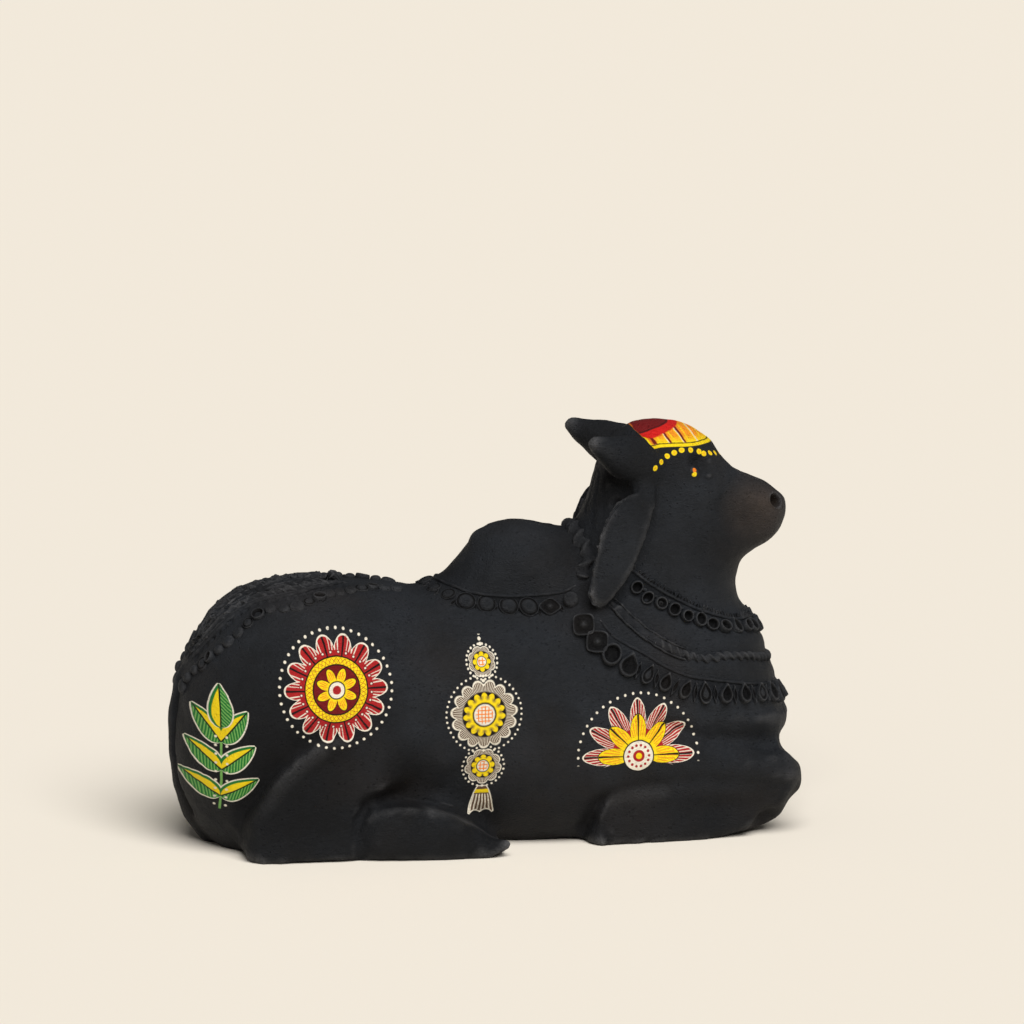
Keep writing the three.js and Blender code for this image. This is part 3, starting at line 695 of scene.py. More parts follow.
EAR_MIDDLE = [
    (25.4, 8.2, 57.0), (23.9, 9.3, 54.4), (22.0, 10.9, 50.8), (20.4, 11.8, 47.2),
    (18.8, 12.3, 43.5), (17.5, 12.6, 40.5), (16.6, 12.7, 38.2),
]


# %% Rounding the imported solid
EVEN_SQUARE = 0.56 * SHARE
ORNAMENT_REACH = 2.3 * SHARE
EAR_REACH = 3.3 * SHARE
MERGE = 0.003 * SHARE

lump = bmesh.new()
lump.from_mesh(frame["nodes"]["nandi_bull"].data)
bmesh.ops.remove_doubles(lump, verts=lump.verts, dist=MERGE)
bmesh.ops.join_triangles(
    lump, faces=lump.faces, angle_face_threshold=0.6, angle_shape_threshold=0.8
)
body_mesh = bpy.data.meshes.new("body_clay")
lump.to_mesh(body_mesh)
lump.free()
body = bpy.data.objects.new("bull_body", body_mesh)
scene.collection.objects.link(body)
rounding = body.modifiers.new("rounding", "SUBSURF")
rounding.levels = rounding.render_levels = 1
squares = body.modifiers.new("squares", "REMESH")
squares.mode = "VOXEL"
squares.voxel_size = EVEN_SQUARE
rounded = bpy.data.meshes.new_from_object(body.evaluated_get(bpy.context.evaluated_depsgraph_get()))
body.modifiers.clear()
print("rounded body:", len(rounded.vertices), "points")


# %% Helpers that work on all points of a mesh at once
def positions(mesh):
    flat = np.empty(len(mesh.vertices) * 3)
    mesh.vertices.foreach_get("co", flat)
    return flat.reshape(-1, 3)


def normals(mesh):
    flat = np.empty(len(mesh.vertices) * 3)
    mesh.vertex_normals.foreach_get("vector", flat)
    return flat.reshape(-1, 3)


def move_points(mesh, where):
    mesh.vertices.foreach_set("co", np.ascontiguousarray(where).ravel())
    mesh.update()


def edge_ends(mesh):
    ends = np.empty(len(mesh.edges) * 2, int)
    mesh.edges.foreach_get("vertices", ends)
    return ends.reshape(-1, 2).T


def neighbours(mesh):
    """A function that sums a value over the neighbours of each point."""
    a, b = edge_ends(mesh)
    points = len(mesh.vertices)
    return lambda values: np.bincount(a, values[b], points) + np.bincount(b, values[a], points)


def relaxed(where, total, chosen, rounds):
    """Draws each chosen point half way to the middle of its neighbours, round after round."""
    count = total(np.ones(len(where)))
    for _ in range(rounds):
        middle = np.stack([total(axis) for axis in where.T], 1) / count[:, None]
        where = where + (middle - where) * (0.5 * chosen[:, None])
    return where


def both_sides(route, step):
    """A route's places on both sides of the figure."""
    return [
        place for side in (-1, 1) for place in smooth_line([at_shares(p, side) for p in route], step)
    ]


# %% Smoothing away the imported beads, and putting the volume back
# Smoothing always shrinks a form a little. So the rounded clay is measured against the packed
# solid and pushed out again by the difference, itself spread out until no facet shows in it.
BEAD_SMOOTHING, EAR_SMOOTHING, VOLUME_SMOOTHING = 26, 16, 7
packed_skin = BVHTree.FromObject(frame["nodes"]["nandi_bull"], bpy.context.evaluated_depsgraph_get())
total = neighbours(rounded)
count = total(np.ones(len(rounded.vertices)))


def spread(values, weights, rounds):
    """Values averaged with their neighbours', where only those with a weight count."""
    sums, sizes = values * weights, weights + 1e-6
    for _ in range(rounds):
        sums = (sums + total(sums)) / (1 + count)
        sizes = (sizes + total(sizes)) / (1 + count)
    return sums / sizes


where = relaxed(positions(rounded), total, np.ones(len(count)), 2)
beads = distance_to(where, [p for r in ORNAMENTS for p in both_sides(r, SHARE)]) < ORNAMENT_REACH
ears = distance_to(where, both_sides(EAR_MIDDLE, SHARE)) < EAR_REACH
under_beads = (beads & ~ears).astype(float)
where = relaxed(where, total, under_beads, BEAD_SMOOTHING)
where = relaxed(where, total, ears.astype(float), EAR_SMOOTHING)
move_points(rounded, where)
for _ in range(2):
    out = normals(rounded)
    gap = np.array([
        (packed_skin.find_nearest(Vector(at))[0] - Vector(at)).dot(Vector(n))
        for at, n in zip(where, out)
    ])
    where = where + out * spread(gap, 1 - under_beads, VOLUME_SMOOTHING)[:, None]
    where = relaxed(where, total, under_beads * 0.6, 4)
    move_points(rounded, where)
    moved_by = np.abs(gap[under_beads == 0]).mean()
    print("put back", round(float(moved_by) * 1000, 3), "mm on average")
clay = bmesh.new()
clay.from_mesh(rounded)


# %% Finer squares where the clay is worked finely
def refine(bm, wanted):
    """Halves the squares where wanted says so."""
    where = np.array([v.co for v in bm.verts])
    chosen = wanted(where)
    bm.verts.index_update()
    edges = [e for e in bm.edges if chosen[e.verts[0].index] and chosen[e.verts[1].index]]
    made = bmesh.ops.subdivide_edges(bm, edges=edges, cuts=1, use_grid_fill=True)
    new = [g for g in made["geom_inner"] if isinstance(g, bmesh.types.BMVert)]
    bmesh.ops.smooth_vert(bm, verts=new, factor=0.4, use_axis_x=True, use_axis_y=True, use_axis_z=True)
    return len(new)


def on_face(where):
    along, height = where[:, 0] / SHARE, where[:, 2] / SHARE
    return (along > 25) & (height > 46) & (along + height * 0.9 > 73)


def on_rump_cloth(where):
    along, aside, height = (where / SHARE).T
    cloth = (along < -15) & (np.abs(aside) < 11) & (height > 26)
    return cloth & (height > 33 - (along + 50) * 0.4)


print("finer squares:", refine(clay, on_face), refine(clay, on_rump_cloth))
clay.to_mesh(body_mesh)
clay.free()
bpy.data.meshes.remove(rounded)
print("body:", len(body_mesh.vertices), "points,", len(body_mesh.loop_triangles), "triangles")


# %% [markdown]
# Now the fingers and the stick. A groove or a welt is drawn by moving the points near a route
# in or out along the surface, a step by letting the clay behind a route fall back, and a dent
# by pushing points near a spot. The eye, the cleft of the hooves, the edges of the legs and
# the folds of the rump cloth are made this way, because they belong to the lump.

# %% Working the clay
def falloff(distance, reach):
    """1 at no distance, easing to 0 at the reach."""
    t = np.clip(1 - distance / reach, 0, 1)
    return t * t * (3 - 2 * t)


def on_clay(where, route, side):
    """The points of the clay nearest to places about a share apart on a route."""
    places = smooth_line([at_shares(p, side) for p in route], SHARE)
    nearest = (int(np.argmin(((where - np.array(p)) ** 2).sum(1))) for p in places)
    return [Vector(where[i]) for i in nearest]


def draw_line(route, half_width, height, sides=(-1, 1)):
    """Raises a welt along a route, or cuts a groove where the height is negative."""
    where, out = positions(body_mesh), normals(body_mesh)
    for side in sides:
        line = smooth_line(on_clay(where, route, side), half_width * SHARE * 0.4)
        lift = falloff(distance_to(where, line), 2 * half_width * SHARE) * height * SHARE
        where += out * lift[:, None]
    move_points(body_mesh, where)


def draw_step(route, reach, depth, soft=0.4, ends=(1.0, 1.0)):
    """Lets the clay fall back on the left of a route as it is walked, so that an edge stands."""
    where = positions(body_mesh)
    for side in (-1, 1):
        line = np.array(smooth_line(on_clay(where, route, side), 0.3 * SHARE))
        nearest, index = np.full(len(where), np.inf), np.zeros(len(where), int)
        for i, place in enumerate(line):
            away = np.linalg.norm(where - place, axis=1)
            closer = away < nearest
            nearest[closer], index[closer] = away[closer], i
        ahead, offset = np.gradient(line, axis=0)[index], where - line[index]
        left = ahead[:, 0] * offset[:, 2] - ahead[:, 2] * offset[:, 0]
        left = left / np.maximum(np.hypot(ahead[:, 0], ahead[:, 2]), 1e-9)
        beyond = np.clip(left / (soft * SHARE), 0, 1)
        fade = np.interp(index / (len(line) - 1), (0, 1), ends)
        where[:, 1] -= side * falloff(nearest, reach * SHARE) * beyond * fade * depth * SHARE
    move_points(body_mesh, where)


def dent(at, radius, depth, sides=(-1, 1), steepness=1.0):
    """Dents the clay at a spot by a depth, or raises it where the depth is negative."""
    where, out = positions(body_mesh), normals(body_mesh)
    for side in sides:
        spot = np.array(at_shares(at, side))
        nearest = int(np.argmin(np.linalg.norm(where - spot, axis=1)))
        away = np.linalg.norm(where - where[nearest], axis=1)
        amount = np.clip(falloff(away, radius * SHARE) * steepness, 0, 1) * depth * SHARE
        where = where - out[nearest] * amount[:, None]
    move_points(body_mesh, where)


def smooth_along(route, reach, rounds):
    """Rubs the clay smooth within a reach of a route, as a wet finger does."""
    where = positions(body_mesh)
    chosen = falloff(distance_to(where, both_sides(route, SHARE)), reach * SHARE)
    move_points(body_mesh, relaxed(where, neighbours(body_mesh), chosen, rounds))


# %% The face
EYE = (33.2, 7.9, 58.1)
LID = [(35.3, 6.4, 59.2), (35.4, 6.7, 58.2), (35.2, 7.2, 57.2)]
LID_CREASE = [
    (31.6, 8.4, 58.6), (32.2, 8.3, 59.2), (33.0, 7.6, 59.8), (34.1, 6.9, 60.0), (35.0, 6.4, 59.7),
]
TEAR_CREASE = [(34.0, 7.8, 56.8), (34.9, 7.4, 56.4), (35.8, 7.0, 56.6)]
BROW = [(29.8, 9.1, 60.2), (32.0, 8.2, 61.6), (34.4, 7.3, 61.7), (36.6, 6.3, 60.4)]
NOSTRIL = (46.5, 3.3, 52.1)
# each dent: where it is, its radius and its depth, which is negative where clay is raised
EYE_HOLLOW = (EYE, 4.4, 0.7)
UNDER_BROW = ((33.2, 7.4, 59.7), 2.0, 0.5)
EYEBALL = ((32.9, 8.1, 58.0), 1.7, -0.5)
for hollow in (EYE_HOLLOW, UNDER_BROW, EYEBALL):
    dent(*hollow)
draw_line(LID_CREASE, 0.3, -0.22)
draw_line(LID, 0.5, 0.22)
draw_line(TEAR_CREASE, 0.3, -0.22)
draw_line(BROW, 0.9, 0.22)
dent(NOSTRIL, 2.0, -0.3)
dent(NOSTRIL, 1.35, 2.4, steepness=1.8)
print("eyes and nostrils")

# %% The hind legs
SHANK_EDGE = [
    (-39.9, 17.6, 0.6), (-39.7, 18.2, 4.1), (-38.9, 18.5, 6.9), (-37.5, 19.5, 9.7),
    (-35.6, 20.7, 13.2), (-33.1, 21.4, 15.9), (-29.8, 21.6, 18.2), (-26.4, 21.4, 19.3),
]
FOOT_HEEL = [(-22.1, 21.7, 0.3), (-22.5, 21.5, 5.3), (-22.2, 21.4, 6.9), (-21.1, 21.3, 8.4)]
FOOT_TOP = [
    (-21.1, 21.3, 8.4), (-19.7, 21.2, 9.1), (-17.5, 20.6, 9.3), (-14.5, 20.4, 9.2), (-10.8, 20.2, 8.3),
]
FOOT_TOE = [(-10.8, 20.2, 8.3), (-6.8, 19.2, 6.7), (-2.6, 16.9, 4.3), (0.4, 15.3, 1.9)]
HOOF_REAR = [(14.9, 13.7, 0.9), (15.7, 14.4, 2.9), (16.4, 15.0, 4.8), (16.9, 15.6, 6.3)]
CANNON_TOP = [
    (16.9, 15.6, 6.3), (18.3, 15.8, 7.4), (20.4, 15.8, 8.1), (23.5, 15.5, 8.4), (26.2, 15.6, 8.7),
    (30.6, 15.8, 8.9), (34.7, 15.4, 8.9), (39.1, 14.6, 8.1), (44.2, 14.1, 7.9), (47.0, 13.1, 7.8),
]
FOREARM = [
    (22.5, 16.4, 13.6), (26.6, 15.9, 13.7), (30.6, 16.0, 13.7), (37.2, 15.1, 13.2), (42.9, 14.6, 12.3),
    (46.0, 14.2, 11.5),
]
BREAST_FOLD = [
    (24.4, 16.0, 19.8), (26.4, 15.9, 19.1), (28.4, 15.8, 18.4), (30.6, 15.7, 17.7), (33.5, 15.3, 16.7),
    (37.6, 14.5, 16.0), (42.2, 12.7, 15.3), (44.7, 11.6, 14.8),
]
TAIL_EDGE = [
    (-48.9, 1.6, 26.1), (-49.4, 1.9, 22.8), (-49.3, 2.1, 18.1), (-49.1, 2.4, 13.5),
    (-48.1, 2.8, 8.6), (-46.7, 3.5, 5.2),
]
THIGH_FRONT = [(-30, 21, 27), (-18, 20, 24), (-8, 19.5, 20), (-6, 19, 15)]
FOREARM_TOP = [(22, 15.8, 14.5), (32, 15.2, 14.6), (41, 13, 14.2), (47, 9.6, 13)]
HOOF_CLEFT = [(17.1, 15.5, 3.6), (17.9, 15.8, 0.4)]
HOLLOW_OVER_FOOT = ((-14.4, 20.2, 13.8), 5.5, 0.9)
HOLLOW_OF_FLANK = ((-10.5, 19.5, 21.0), 7.0, 0.7)
TOE_TIP = ((-0.6, 20.6, 0.9), 3.0, -2.2)
KNEE_TIP = ((49.0, 10.0, 7.4), 3.4, -0.7)
KNEE_TOP = ((48.6, 10.0, 13.8), 3.2, 0.6)
KNEE_CORNER = ((45.2, 13.0, 0.8), 3.8, 1.9)


def moved(route, along=0.0, aside=0.0, height=0.0):
    """A route moved by so many shares, and never past the middle of the figure."""
    return [(x + along, max(y + aside, 0.02), z + height) for x, y, z in route]


smooth_along(THIGH_FRONT, 4.5, 20)
smooth_along(FOREARM_TOP, 3.6, 30)
# the shank stands out of the haunch with a rounded edge
draw_line(moved(SHANK_EDGE, 1.3, 0.6, -0.4), 1.6, 0.6)
draw_step(SHANK_EDGE, 5.0, 2.8, ends=(1.0, 0.3))
# the hind foot stands out of the shank and the belly, and swells along its middle
draw_line([*FOOT_TOP, *FOOT_TOE[1:]], 1.2, -0.55)
draw_step(FOOT_HEEL, 1.8, 1.0, ends=(0.7, 1.0))
draw_line(FOOT_HEEL, 0.45, -0.5)
draw_step(FOOT_TOP, 3.8, 3.4, ends=(0.35, 0.8))
draw_step(FOOT_TOE, 2.6, 1.9, ends=(1.0, 0.4))
draw_line(moved(FOOT_TOP, 1.5, 0.8, -4.4), 2.4, 0.6)
for hollow in (HOLLOW_OVER_FOOT, HOLLOW_OF_FLANK, TOE_TIP):
    dent(*hollow)
print("hind legs")

# %% The breast and the forelegs
draw_line(FOREARM, 2.6, 0.9)
# the breast hangs over the forearm, with a crease between them
draw_line(BREAST_FOLD[2:7], 2.6, -1.2)
draw_step(BREAST_FOLD, 2.4, 0.9, ends=(0.2, 1.0))
draw_line(BREAST_FOLD[1:], 0.55, -0.7)
draw_line(moved(BREAST_FOLD[2:], 0, 0.3, 3.8), 2.6, 0.4)
# the cannon and its hoof lie under the forearm
draw_step(CANNON_TOP, 2.8, 0.5, soft=1.6)
draw_line(moved(CANNON_TOP, 0, 0, -0.9), 1.1, 0.14)
draw_step(HOOF_REAR, 3.2, 1.8, ends=(1.2, 0.8))
for hollow in (KNEE_TIP, KNEE_TOP, KNEE_CORNER):
    dent(*hollow)
draw_line(HOOF_CLEFT, 0.4, -0.3)
draw_line(TAIL_EDGE, 0.5, -0.6)
print("breast, forelegs and tail")

# %% The head, the ears and the folds of the neck
BRIDGE = [(38.6, 0.02, 58.8), (41.0, 0.02, 57.0), (44.2, 0.02, 55.6), (46.6, 0.02, 54.2)]
HORN_UNDERSIDE = [(23.0, 9.4, 56.0), (21.4, 8.2, 56.0), (20.2, 6.8, 56.6), (19.4, 5.0, 57.6)]
RUMP_TOP = [(-43.0, 0.02, 37.0), (-38.0, 0.02, 40.2), (-31.0, 0.02, 42.2), (-23.0, 0.02, 42.6)]
EAR_REAR = [
    (21.6, 9.2, 54.4), (19.0, 9.6, 51.6), (17.4, 10.0, 48.2), (15.9, 10.4, 44.6),
    (14.7, 10.8, 41.4), (14.0, 11.4, 38.6),
]
EAR_FRONT = [
    (26.4, 9.2, 52.6), (26.0, 9.6, 50.6), (24.6, 10.2, 46.8), (23.4, 10.6, 43.4),
    (21.4, 11.2, 40.2), (19.0, 12.0, 38.2),
]
NECK_HAIRS = [
    [(18.6, 2.2, 57.6), (17.6, 3.2, 54.2), (17.2, 4.4, 51.0), (16.4, 5.6, 48.4)],
    [(19.6, 3.8, 57.4), (18.8, 5.0, 54.2), (18.0, 6.4, 51.2)],
    [(18.4, 0.6, 58.6), (17.2, 1.2, 54.6), (16.2, 1.8, 51.2)],
]
HUMP_FRONT = [(8.6, 0.02, 49.6), (11.4, 0.02, 49.0), (13.6, 0.02, 48.4)]
HUMP_TOP = ((-1.4, 0.02, 48.2), 3.0, -0.7)
BREAST_MIDDLE = ((47.6, 0.02, 23.4), 3.4, 1.5)
EAR_HOLE = ((19.6, 8.0, 53.2), 1.2, 1.3)
EAR_HOLLOW = ((20.6, 8.6, 55.6), 2.8, 1.2)
MIDDLE_ONLY = (-1,)
draw_line(BRIDGE, 2.0, -0.5, MIDDLE_ONLY)
draw_line(HORN_UNDERSIDE, 0.7, -0.7)
draw_line(EAR_REAR, 0.7, -0.6)
draw_line(EAR_FRONT, 0.6, -0.55)
smooth_along(EAR_FRONT, 1.6, 5)
smooth_along(EAR_REAR, 1.6, 4)
draw_line(RUMP_TOP, 5.5, -0.75, MIDDLE_ONLY)
draw_line(HUMP_FRONT, 1.6, -0.4, MIDDLE_ONLY)
dent(*HUMP_TOP, MIDDLE_ONLY)
dent(*BREAST_MIDDLE, MIDDLE_ONLY)
for hair in NECK_HAIRS:
    draw_line(hair, 0.25, -0.2)
dent(*EAR_HOLE, steepness=1.3)
dent(*EAR_HOLLOW)
draw_line(moved(COLLAR_RINGS, 0.3, 0.8, -3.0), 1.7, 0.4)
draw_line(moved(TWISTED_ROPE, 0.3, 0.4, -1.9), 1.4, 0.35)
draw_line(moved(BREAST_PENDANTS, 0, 0, -2.5), 0.8, -0.4)
print("head, ears and neck")

# %% The channels that the ornaments lie in
for route in (COLLAR_RINGS, BREAST_PENDANTS, HUMP_DISCS):
    draw_line(route, 1.1, -0.28)
for route in (TWISTED_ROPE, NAPE_ROLL):
    draw_line(route, 0.9, -0.25)


# %% The folds of the rump cloth
def wavered(route, hand, by):
    """A route with its points moved a little to and fro."""
    return [
        (x + hand.uniform(-by, by), max(y + hand.uniform(-by, by), 0.02), z) for x, y, z in route
    ]


FOLD_STEP, FOLD_COUNT = 1.05, 8
BRAIDS, BRAID_RISE = (1.9, 3.8, 5.7), 0.27
PIT_STEP, PIT_RADIUS, PIT_DEPTH = 1.5, 0.75, 0.6
cloth_hand = random.Random(7)
for i in range(FOLD_COUNT):
    aside = 0.7 + i * FOLD_STEP
    fold = moved(CRUPPER_RIDGE, 0, -aside, BRAID_RISE * aside)
    draw_line(wavered(fold, cloth_hand, 0.45), 0.34, (0.24, -0.38)[i % 2])
pit_line = [at_shares(p) for p in moved(CRUPPER_RIDGE, 0, 0.8, -0.35)]
pit_line = smooth_line(pit_line, PIT_STEP * SHARE)
for x, y, z in pit_line[1:]:
    spot = (x / SHARE, -y / SHARE, z / SHARE)
    for side in (-1, 1):
        dent(spot, PIT_RADIUS, cloth_hand.uniform(0.5, 1) * PIT_DEPTH, (side,))
print("folds:", FOLD_COUNT, "pits:", 2 * len(pit_line) - 2)


# %% The unevenness of hand work, and the flat underside
def uneven(mesh, sizes):
    """Moves each point in or out by soft noise: sizes are (wave length, height) in shares."""
    where, out = positions(mesh), normals(mesh)
    lift = np.zeros(len(where))
    for wave, height in sizes:
        lift += [noise.noise(Vector(p) / (wave * SHARE)) * height * SHARE for p in where]
    move_points(mesh, where + out * lift[:, None])


def rubbing(mesh, strength, least, rounds=0):
    """Stores on each point how far it stands out of its neighbours, where hands rub it."""
    where, total = positions(mesh), neighbours(mesh)
    count = np.maximum(total(np.ones(len(where))), 1)
    a, b = edge_ends(mesh)
    span = np.linalg.norm(where[a] - where[b], axis=1)
    reach = (np.bincount(a, span, len(where)) + np.bincount(b, span, len(where))) / count
    middle = np.stack([total(axis) for axis in where.T], 1) / count[:, None]
    stands_out = ((where - middle) * normals(mesh)).sum(1) / np.maximum(reach, 1e-9)
    for _ in range(rounds):
        stands_out = (stands_out + total(stands_out) / count) / 2
    marks = mesh.attributes.new("wear_and_sheen", "FLOAT", "POINT")
    wear_and_sheen = np.clip((stands_out - least) * strength, 0, 1)
    marks.data.foreach_set("value", wear_and_sheen.astype(np.float32))


def add_wear_and_sheen(mesh, routes, reach, amount):
    """Adds wear and painted sheen along routes to what rubbing stored on the mesh."""
    marks, where = mesh.attributes["wear_and_sheen"], positions(mesh)
    wear_and_sheen = np.empty(len(where), np.float32)
    marks.data.foreach_get("value", wear_and_sheen)
    for route in routes:
        wear_and_sheen += falloff(distance_to(where, both_sides(route, SHARE * 0.5)), reach * SHARE) * amount
    marks.data.foreach_set("value", np.clip(wear_and_sheen, 0, 1).astype(np.float32))


BODY_WAVES = [(13, 0.3), (6, 0.14), (2.6, 0.1), (1.1, 0.04)]
FLAT_BELOW = 0.16
uneven(body_mesh, BODY_WAVES)
where = positions(body_mesh)
under = where[:, 2] < FLAT_BELOW * SHARE
where[under, 2] = 0
move_points(body_mesh, where)
rubbing(body_mesh, 4.5, 0.06, rounds=3)
# painted sheen where light catches the shank edge, the cannon's top and the hind foot's toe, over
# their wear
sheen_and_wear_edges = [moved(SHANK_EDGE[2:7], 0.9, 0.4, -0.3), moved(CANNON_TOP[1:5], 0, 0, -0.4)]
add_wear_and_sheen(body_mesh, sheen_and_wear_edges, 2.0, 0.16)
add_wear_and_sheen(body_mesh, [moved(FOOT_TOE, -0.6, 0.8, -1.0)], 2.2, 0.4)
surface = BVHTree.FromPolygons(
    [v.co for v in body_mesh.vertices], [p.vertices for p in body_mesh.polygons]
)
print("points on the underside:", int(under.sum()))

# %% The body's finishes
painted_finishes = [painted_clay(paint, foot) for paint, foot, *_ in PAINTED_PLACES]
body_mesh.shade_smooth()
body_mesh.materials.clear()
for finish_here in (black_clay, *painted_finishes):
    body_mesh.materials.append(finish_here)
middles = np.empty(len(body_mesh.polygons) * 3)
body_mesh.polygons.foreach_get("center", middles)
along, aside, level = middles.reshape(-1, 3).T / SHARE
worn_finish = np.zeros(len(body_mesh.polygons), int)
for slot, (_, _, (x0, z0), (x1, z1), out_from) in enumerate(PAINTED_PLACES, 1):
    inside = (along > x0) & (along < x1) & (level > z0) & (level < z1) & (np.abs(aside) > out_from)
    worn_finish[inside] = slot
body_mesh.polygons.foreach_set("material_index", worn_finish)
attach(body, "root")
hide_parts("nandi_bull")
print("painted squares:", int((worn_finish > 0).sum()))


# %% [markdown]
# The ornaments are pellets and rolls of clay pressed onto the damp body. Each kind of pellet is
# one small shape, made by pulling a disc up in steps: every step is an extrusion of the top
# face, made wider or narrower and higher or lower. It is then stamped along its route, each
# time a little turned, tilted and sized by a seeded hand, because no two pressed pellets
# are alike.

# %% The shapes of the pellets
BURIED = -0.8
# faces this far below a pellet's rim get the clay darkened by painted shade
HOLLOW_BELOW_RIM = 0.15


def pull(bm, top, first):
    """Extrudes a shape's top. The old faces stay only under the first pull, as its bottom."""
    pulled = bmesh.ops.extrude_face_region(bm, geom=top)["geom"]
    if not first:
        bmesh.ops.delete(bm, geom=top, context="FACES_ONLY")
    ring = [g for g in pulled if isinstance(g, bmesh.types.BMVert)]
    return ring, [g for g in pulled if isinstance(g, bmesh.types.BMFace)]


def pressed_shape(name, sides, steps, outline=None):
    """A closed pellet: a disc pulled up by steps of (how wide, how high).

    Faces that lie below the rim are given the second finish, the clay darkened by painted shade."""
    bm = bmesh.new()
    ring = bmesh.ops.create_circle(bm, cap_ends=True, segments=sides, radius=1)["verts"]
    if outline:
        for v in ring:
            v.co = outline(v.co)
    top, in_painted_shade = bm.faces[:], set()
    wide, high, highest = 1, 0, BURIED
    for i, (next_wide, next_high) in enumerate(steps):
        if i:
            ring, top = pull(bm, top, first=i == 1)
        grow = next_wide / wide
        bmesh.ops.scale(bm, vec=(grow, grow, 1), verts=ring)
        bmesh.ops.translate(bm, vec=(0, 0, next_high - high), verts=ring)
        wide, high = next_wide, next_high
        highest = max(highest, high)
        if high < highest - HOLLOW_BELOW_RIM:
            in_painted_shade.update(ring)
    for face in bm.faces:
        face.material_index = int(sum(v in in_painted_shade for v in face.verts) * 2 >= len(face.verts))
    bmesh.ops.recalc_face_normals(bm, faces=bm.faces)
    mesh = bpy.data.meshes.new(name)
    bm.to_mesh(mesh)
    bm.free()
    return mesh


def diamond(place):
    """A circle's place drawn out to a diamond with soft corners."""
    x, y = place.x, place.y
    reach = (abs(x) ** 1.2 + abs(y) ** 1.2) ** (1 / 1.2)
    return Vector((x / reach, y / reach, 0))


def tear(place):
    """A circle's place drawn to a tear with its tip at +Y."""
    narrow = 1 - 0.75 * max(place.y, 0) ** 1.3
    return Vector((place.x * narrow, place.y * (1.25 if place.y > 0 else 1), 0))


def leaf(place):
    """A circle's place drawn to a narrow leaf, pointed at both ends."""
    return Vector((place.x * (1 - abs(place.y) ** 1.5) * 0.9, place.y * 1.1, 0))


CUP = pressed_shape("cup", 14, [
    (1.02, BURIED), (1.0, 0.25), (0.97, 0.85), (0.88, 1.1), (0.76, 1.06), (0.68, 0.4), (0.5, 0.1),
    (0.14, 0.06)])
RING = pressed_shape("ring", 14, [
    (1.02, BURIED), (1.0, 0.2), (0.94, 0.7), (0.82, 0.96), (0.68, 0.92), (0.56, 0.3), (0.4, 0.14),
    (0.26, 0.42), (0.1, 0.5)])
DISC = pressed_shape("disc", 16, [
    (1.02, BURIED), (1.0, 0.35), (0.96, 0.62), (0.9, 0.62), (0.82, 0.3), (0.7, 0.6), (0.5, 0.88),
    (0.26, 1.02), (0.08, 1.05)])
BEAD = pressed_shape("bead", 12, [
    (1.02, BURIED), (1.0, 0.2), (0.9, 0.6), (0.7, 0.88), (0.42, 1.02), (0.14, 1.06)])
BOX = pressed_shape("box", 12, [
    (1.02, BURIED), (1.0, 0.4), (0.96, 0.74), (0.86, 0.78), (0.76, 0.34), (0.4, 0.62), (0.06, 0.95)],
    diamond)
TEAR = pressed_shape("tear", 14, [
    (1.02, BURIED), (1.0, 0.4), (0.94, 0.86), (0.84, 0.94), (0.72, 0.56), (0.6, 0.55), (0.42, 0.84),
    (0.14, 0.98)], tear)
HOLLOW_TEAR = pressed_shape("hollow_tear", 14, [
    (1.02, BURIED), (1.0, 0.4), (0.93, 0.88), (0.8, 1.0), (0.66, 0.8), (0.44, 0.3), (0.14, 0.2)], tear)
LEAF_PELLET = pressed_shape("leaf", 12, [
    (1.02, BURIED), (1.0, 0.5), (0.9, 0.95), (0.74, 0.95), (0.5, 0.45), (0.14, 0.4)], leaf)
pellets = (CUP, RING, DISC, BEAD, BOX, TEAR, HOLLOW_TEAR, LEAF_PELLET)
print("pellet shapes:", [(shape.name, len(shape.polygons)) for shape in pellets])


# %% Seats for the pellets, and rolls
FLIP = Matrix.Diagonal((1, -1, 1, 1))
UPRIGHT = Matrix.Rotation(math.pi / 2, 4, "Y")
NEAREST_SEATS = 0.04
TAPER = 3


def seats(route, step, round_the_body=True):
    """Frames on the clay along a route: X along it, Y across it and Z out of the clay.

    A route that goes round the body runs back along the other side."""
    near = [at_shares(p) for p in route]
    if round_the_body:
        far = [at_shares(p, 1) for p in reversed(route)]
        near = near + (far[1:] if route[-1][1] == 0 else far)
    found = []
    for place in smooth_line(near, step * SHARE):
        at, out = surface.find_nearest(place)[:2]
        if not found or (at - found[-1][0]).length > NEAREST_SEATS * SHARE:
            found.append((at, out))
    frames = []
    for i, (at, _) in enumerate(found):
        before, after = found[max(i - 1, 0)], found[min(i + 1, len(found) - 1)]
        out = (before[1] + found[i][1] * 2 + after[1]).normalized()
        along = after[0] - before[0]
        along = (along - out * along.dot(out)).normalized()
        turned = Matrix((along, out.cross(along), out)).transposed().to_4x4()
        frames.append(Matrix.Translation(at) @ turned)
    return frames


def both(route, step):
    """The seats of a route on the near side, and their mirror images on the far side."""
    near = seats(route, step, round_the_body=False)
    return near, [FLIP @ seat @ FLIP for seat in near]


def from_the_ears(route, step):
    """The seats of a route round the body, each with its number from the nearer ear."""
    line = seats(route, step)
    return [(min(i, len(line) - 1 - i), seat) for i, seat in enumerate(line)]


def shifted(seat, across, out=0.0):
    """A seat moved across its route, and out of the clay, by so many shares."""
    return seat @ Matrix.Translation((0, across * SHARE, out * SHARE))


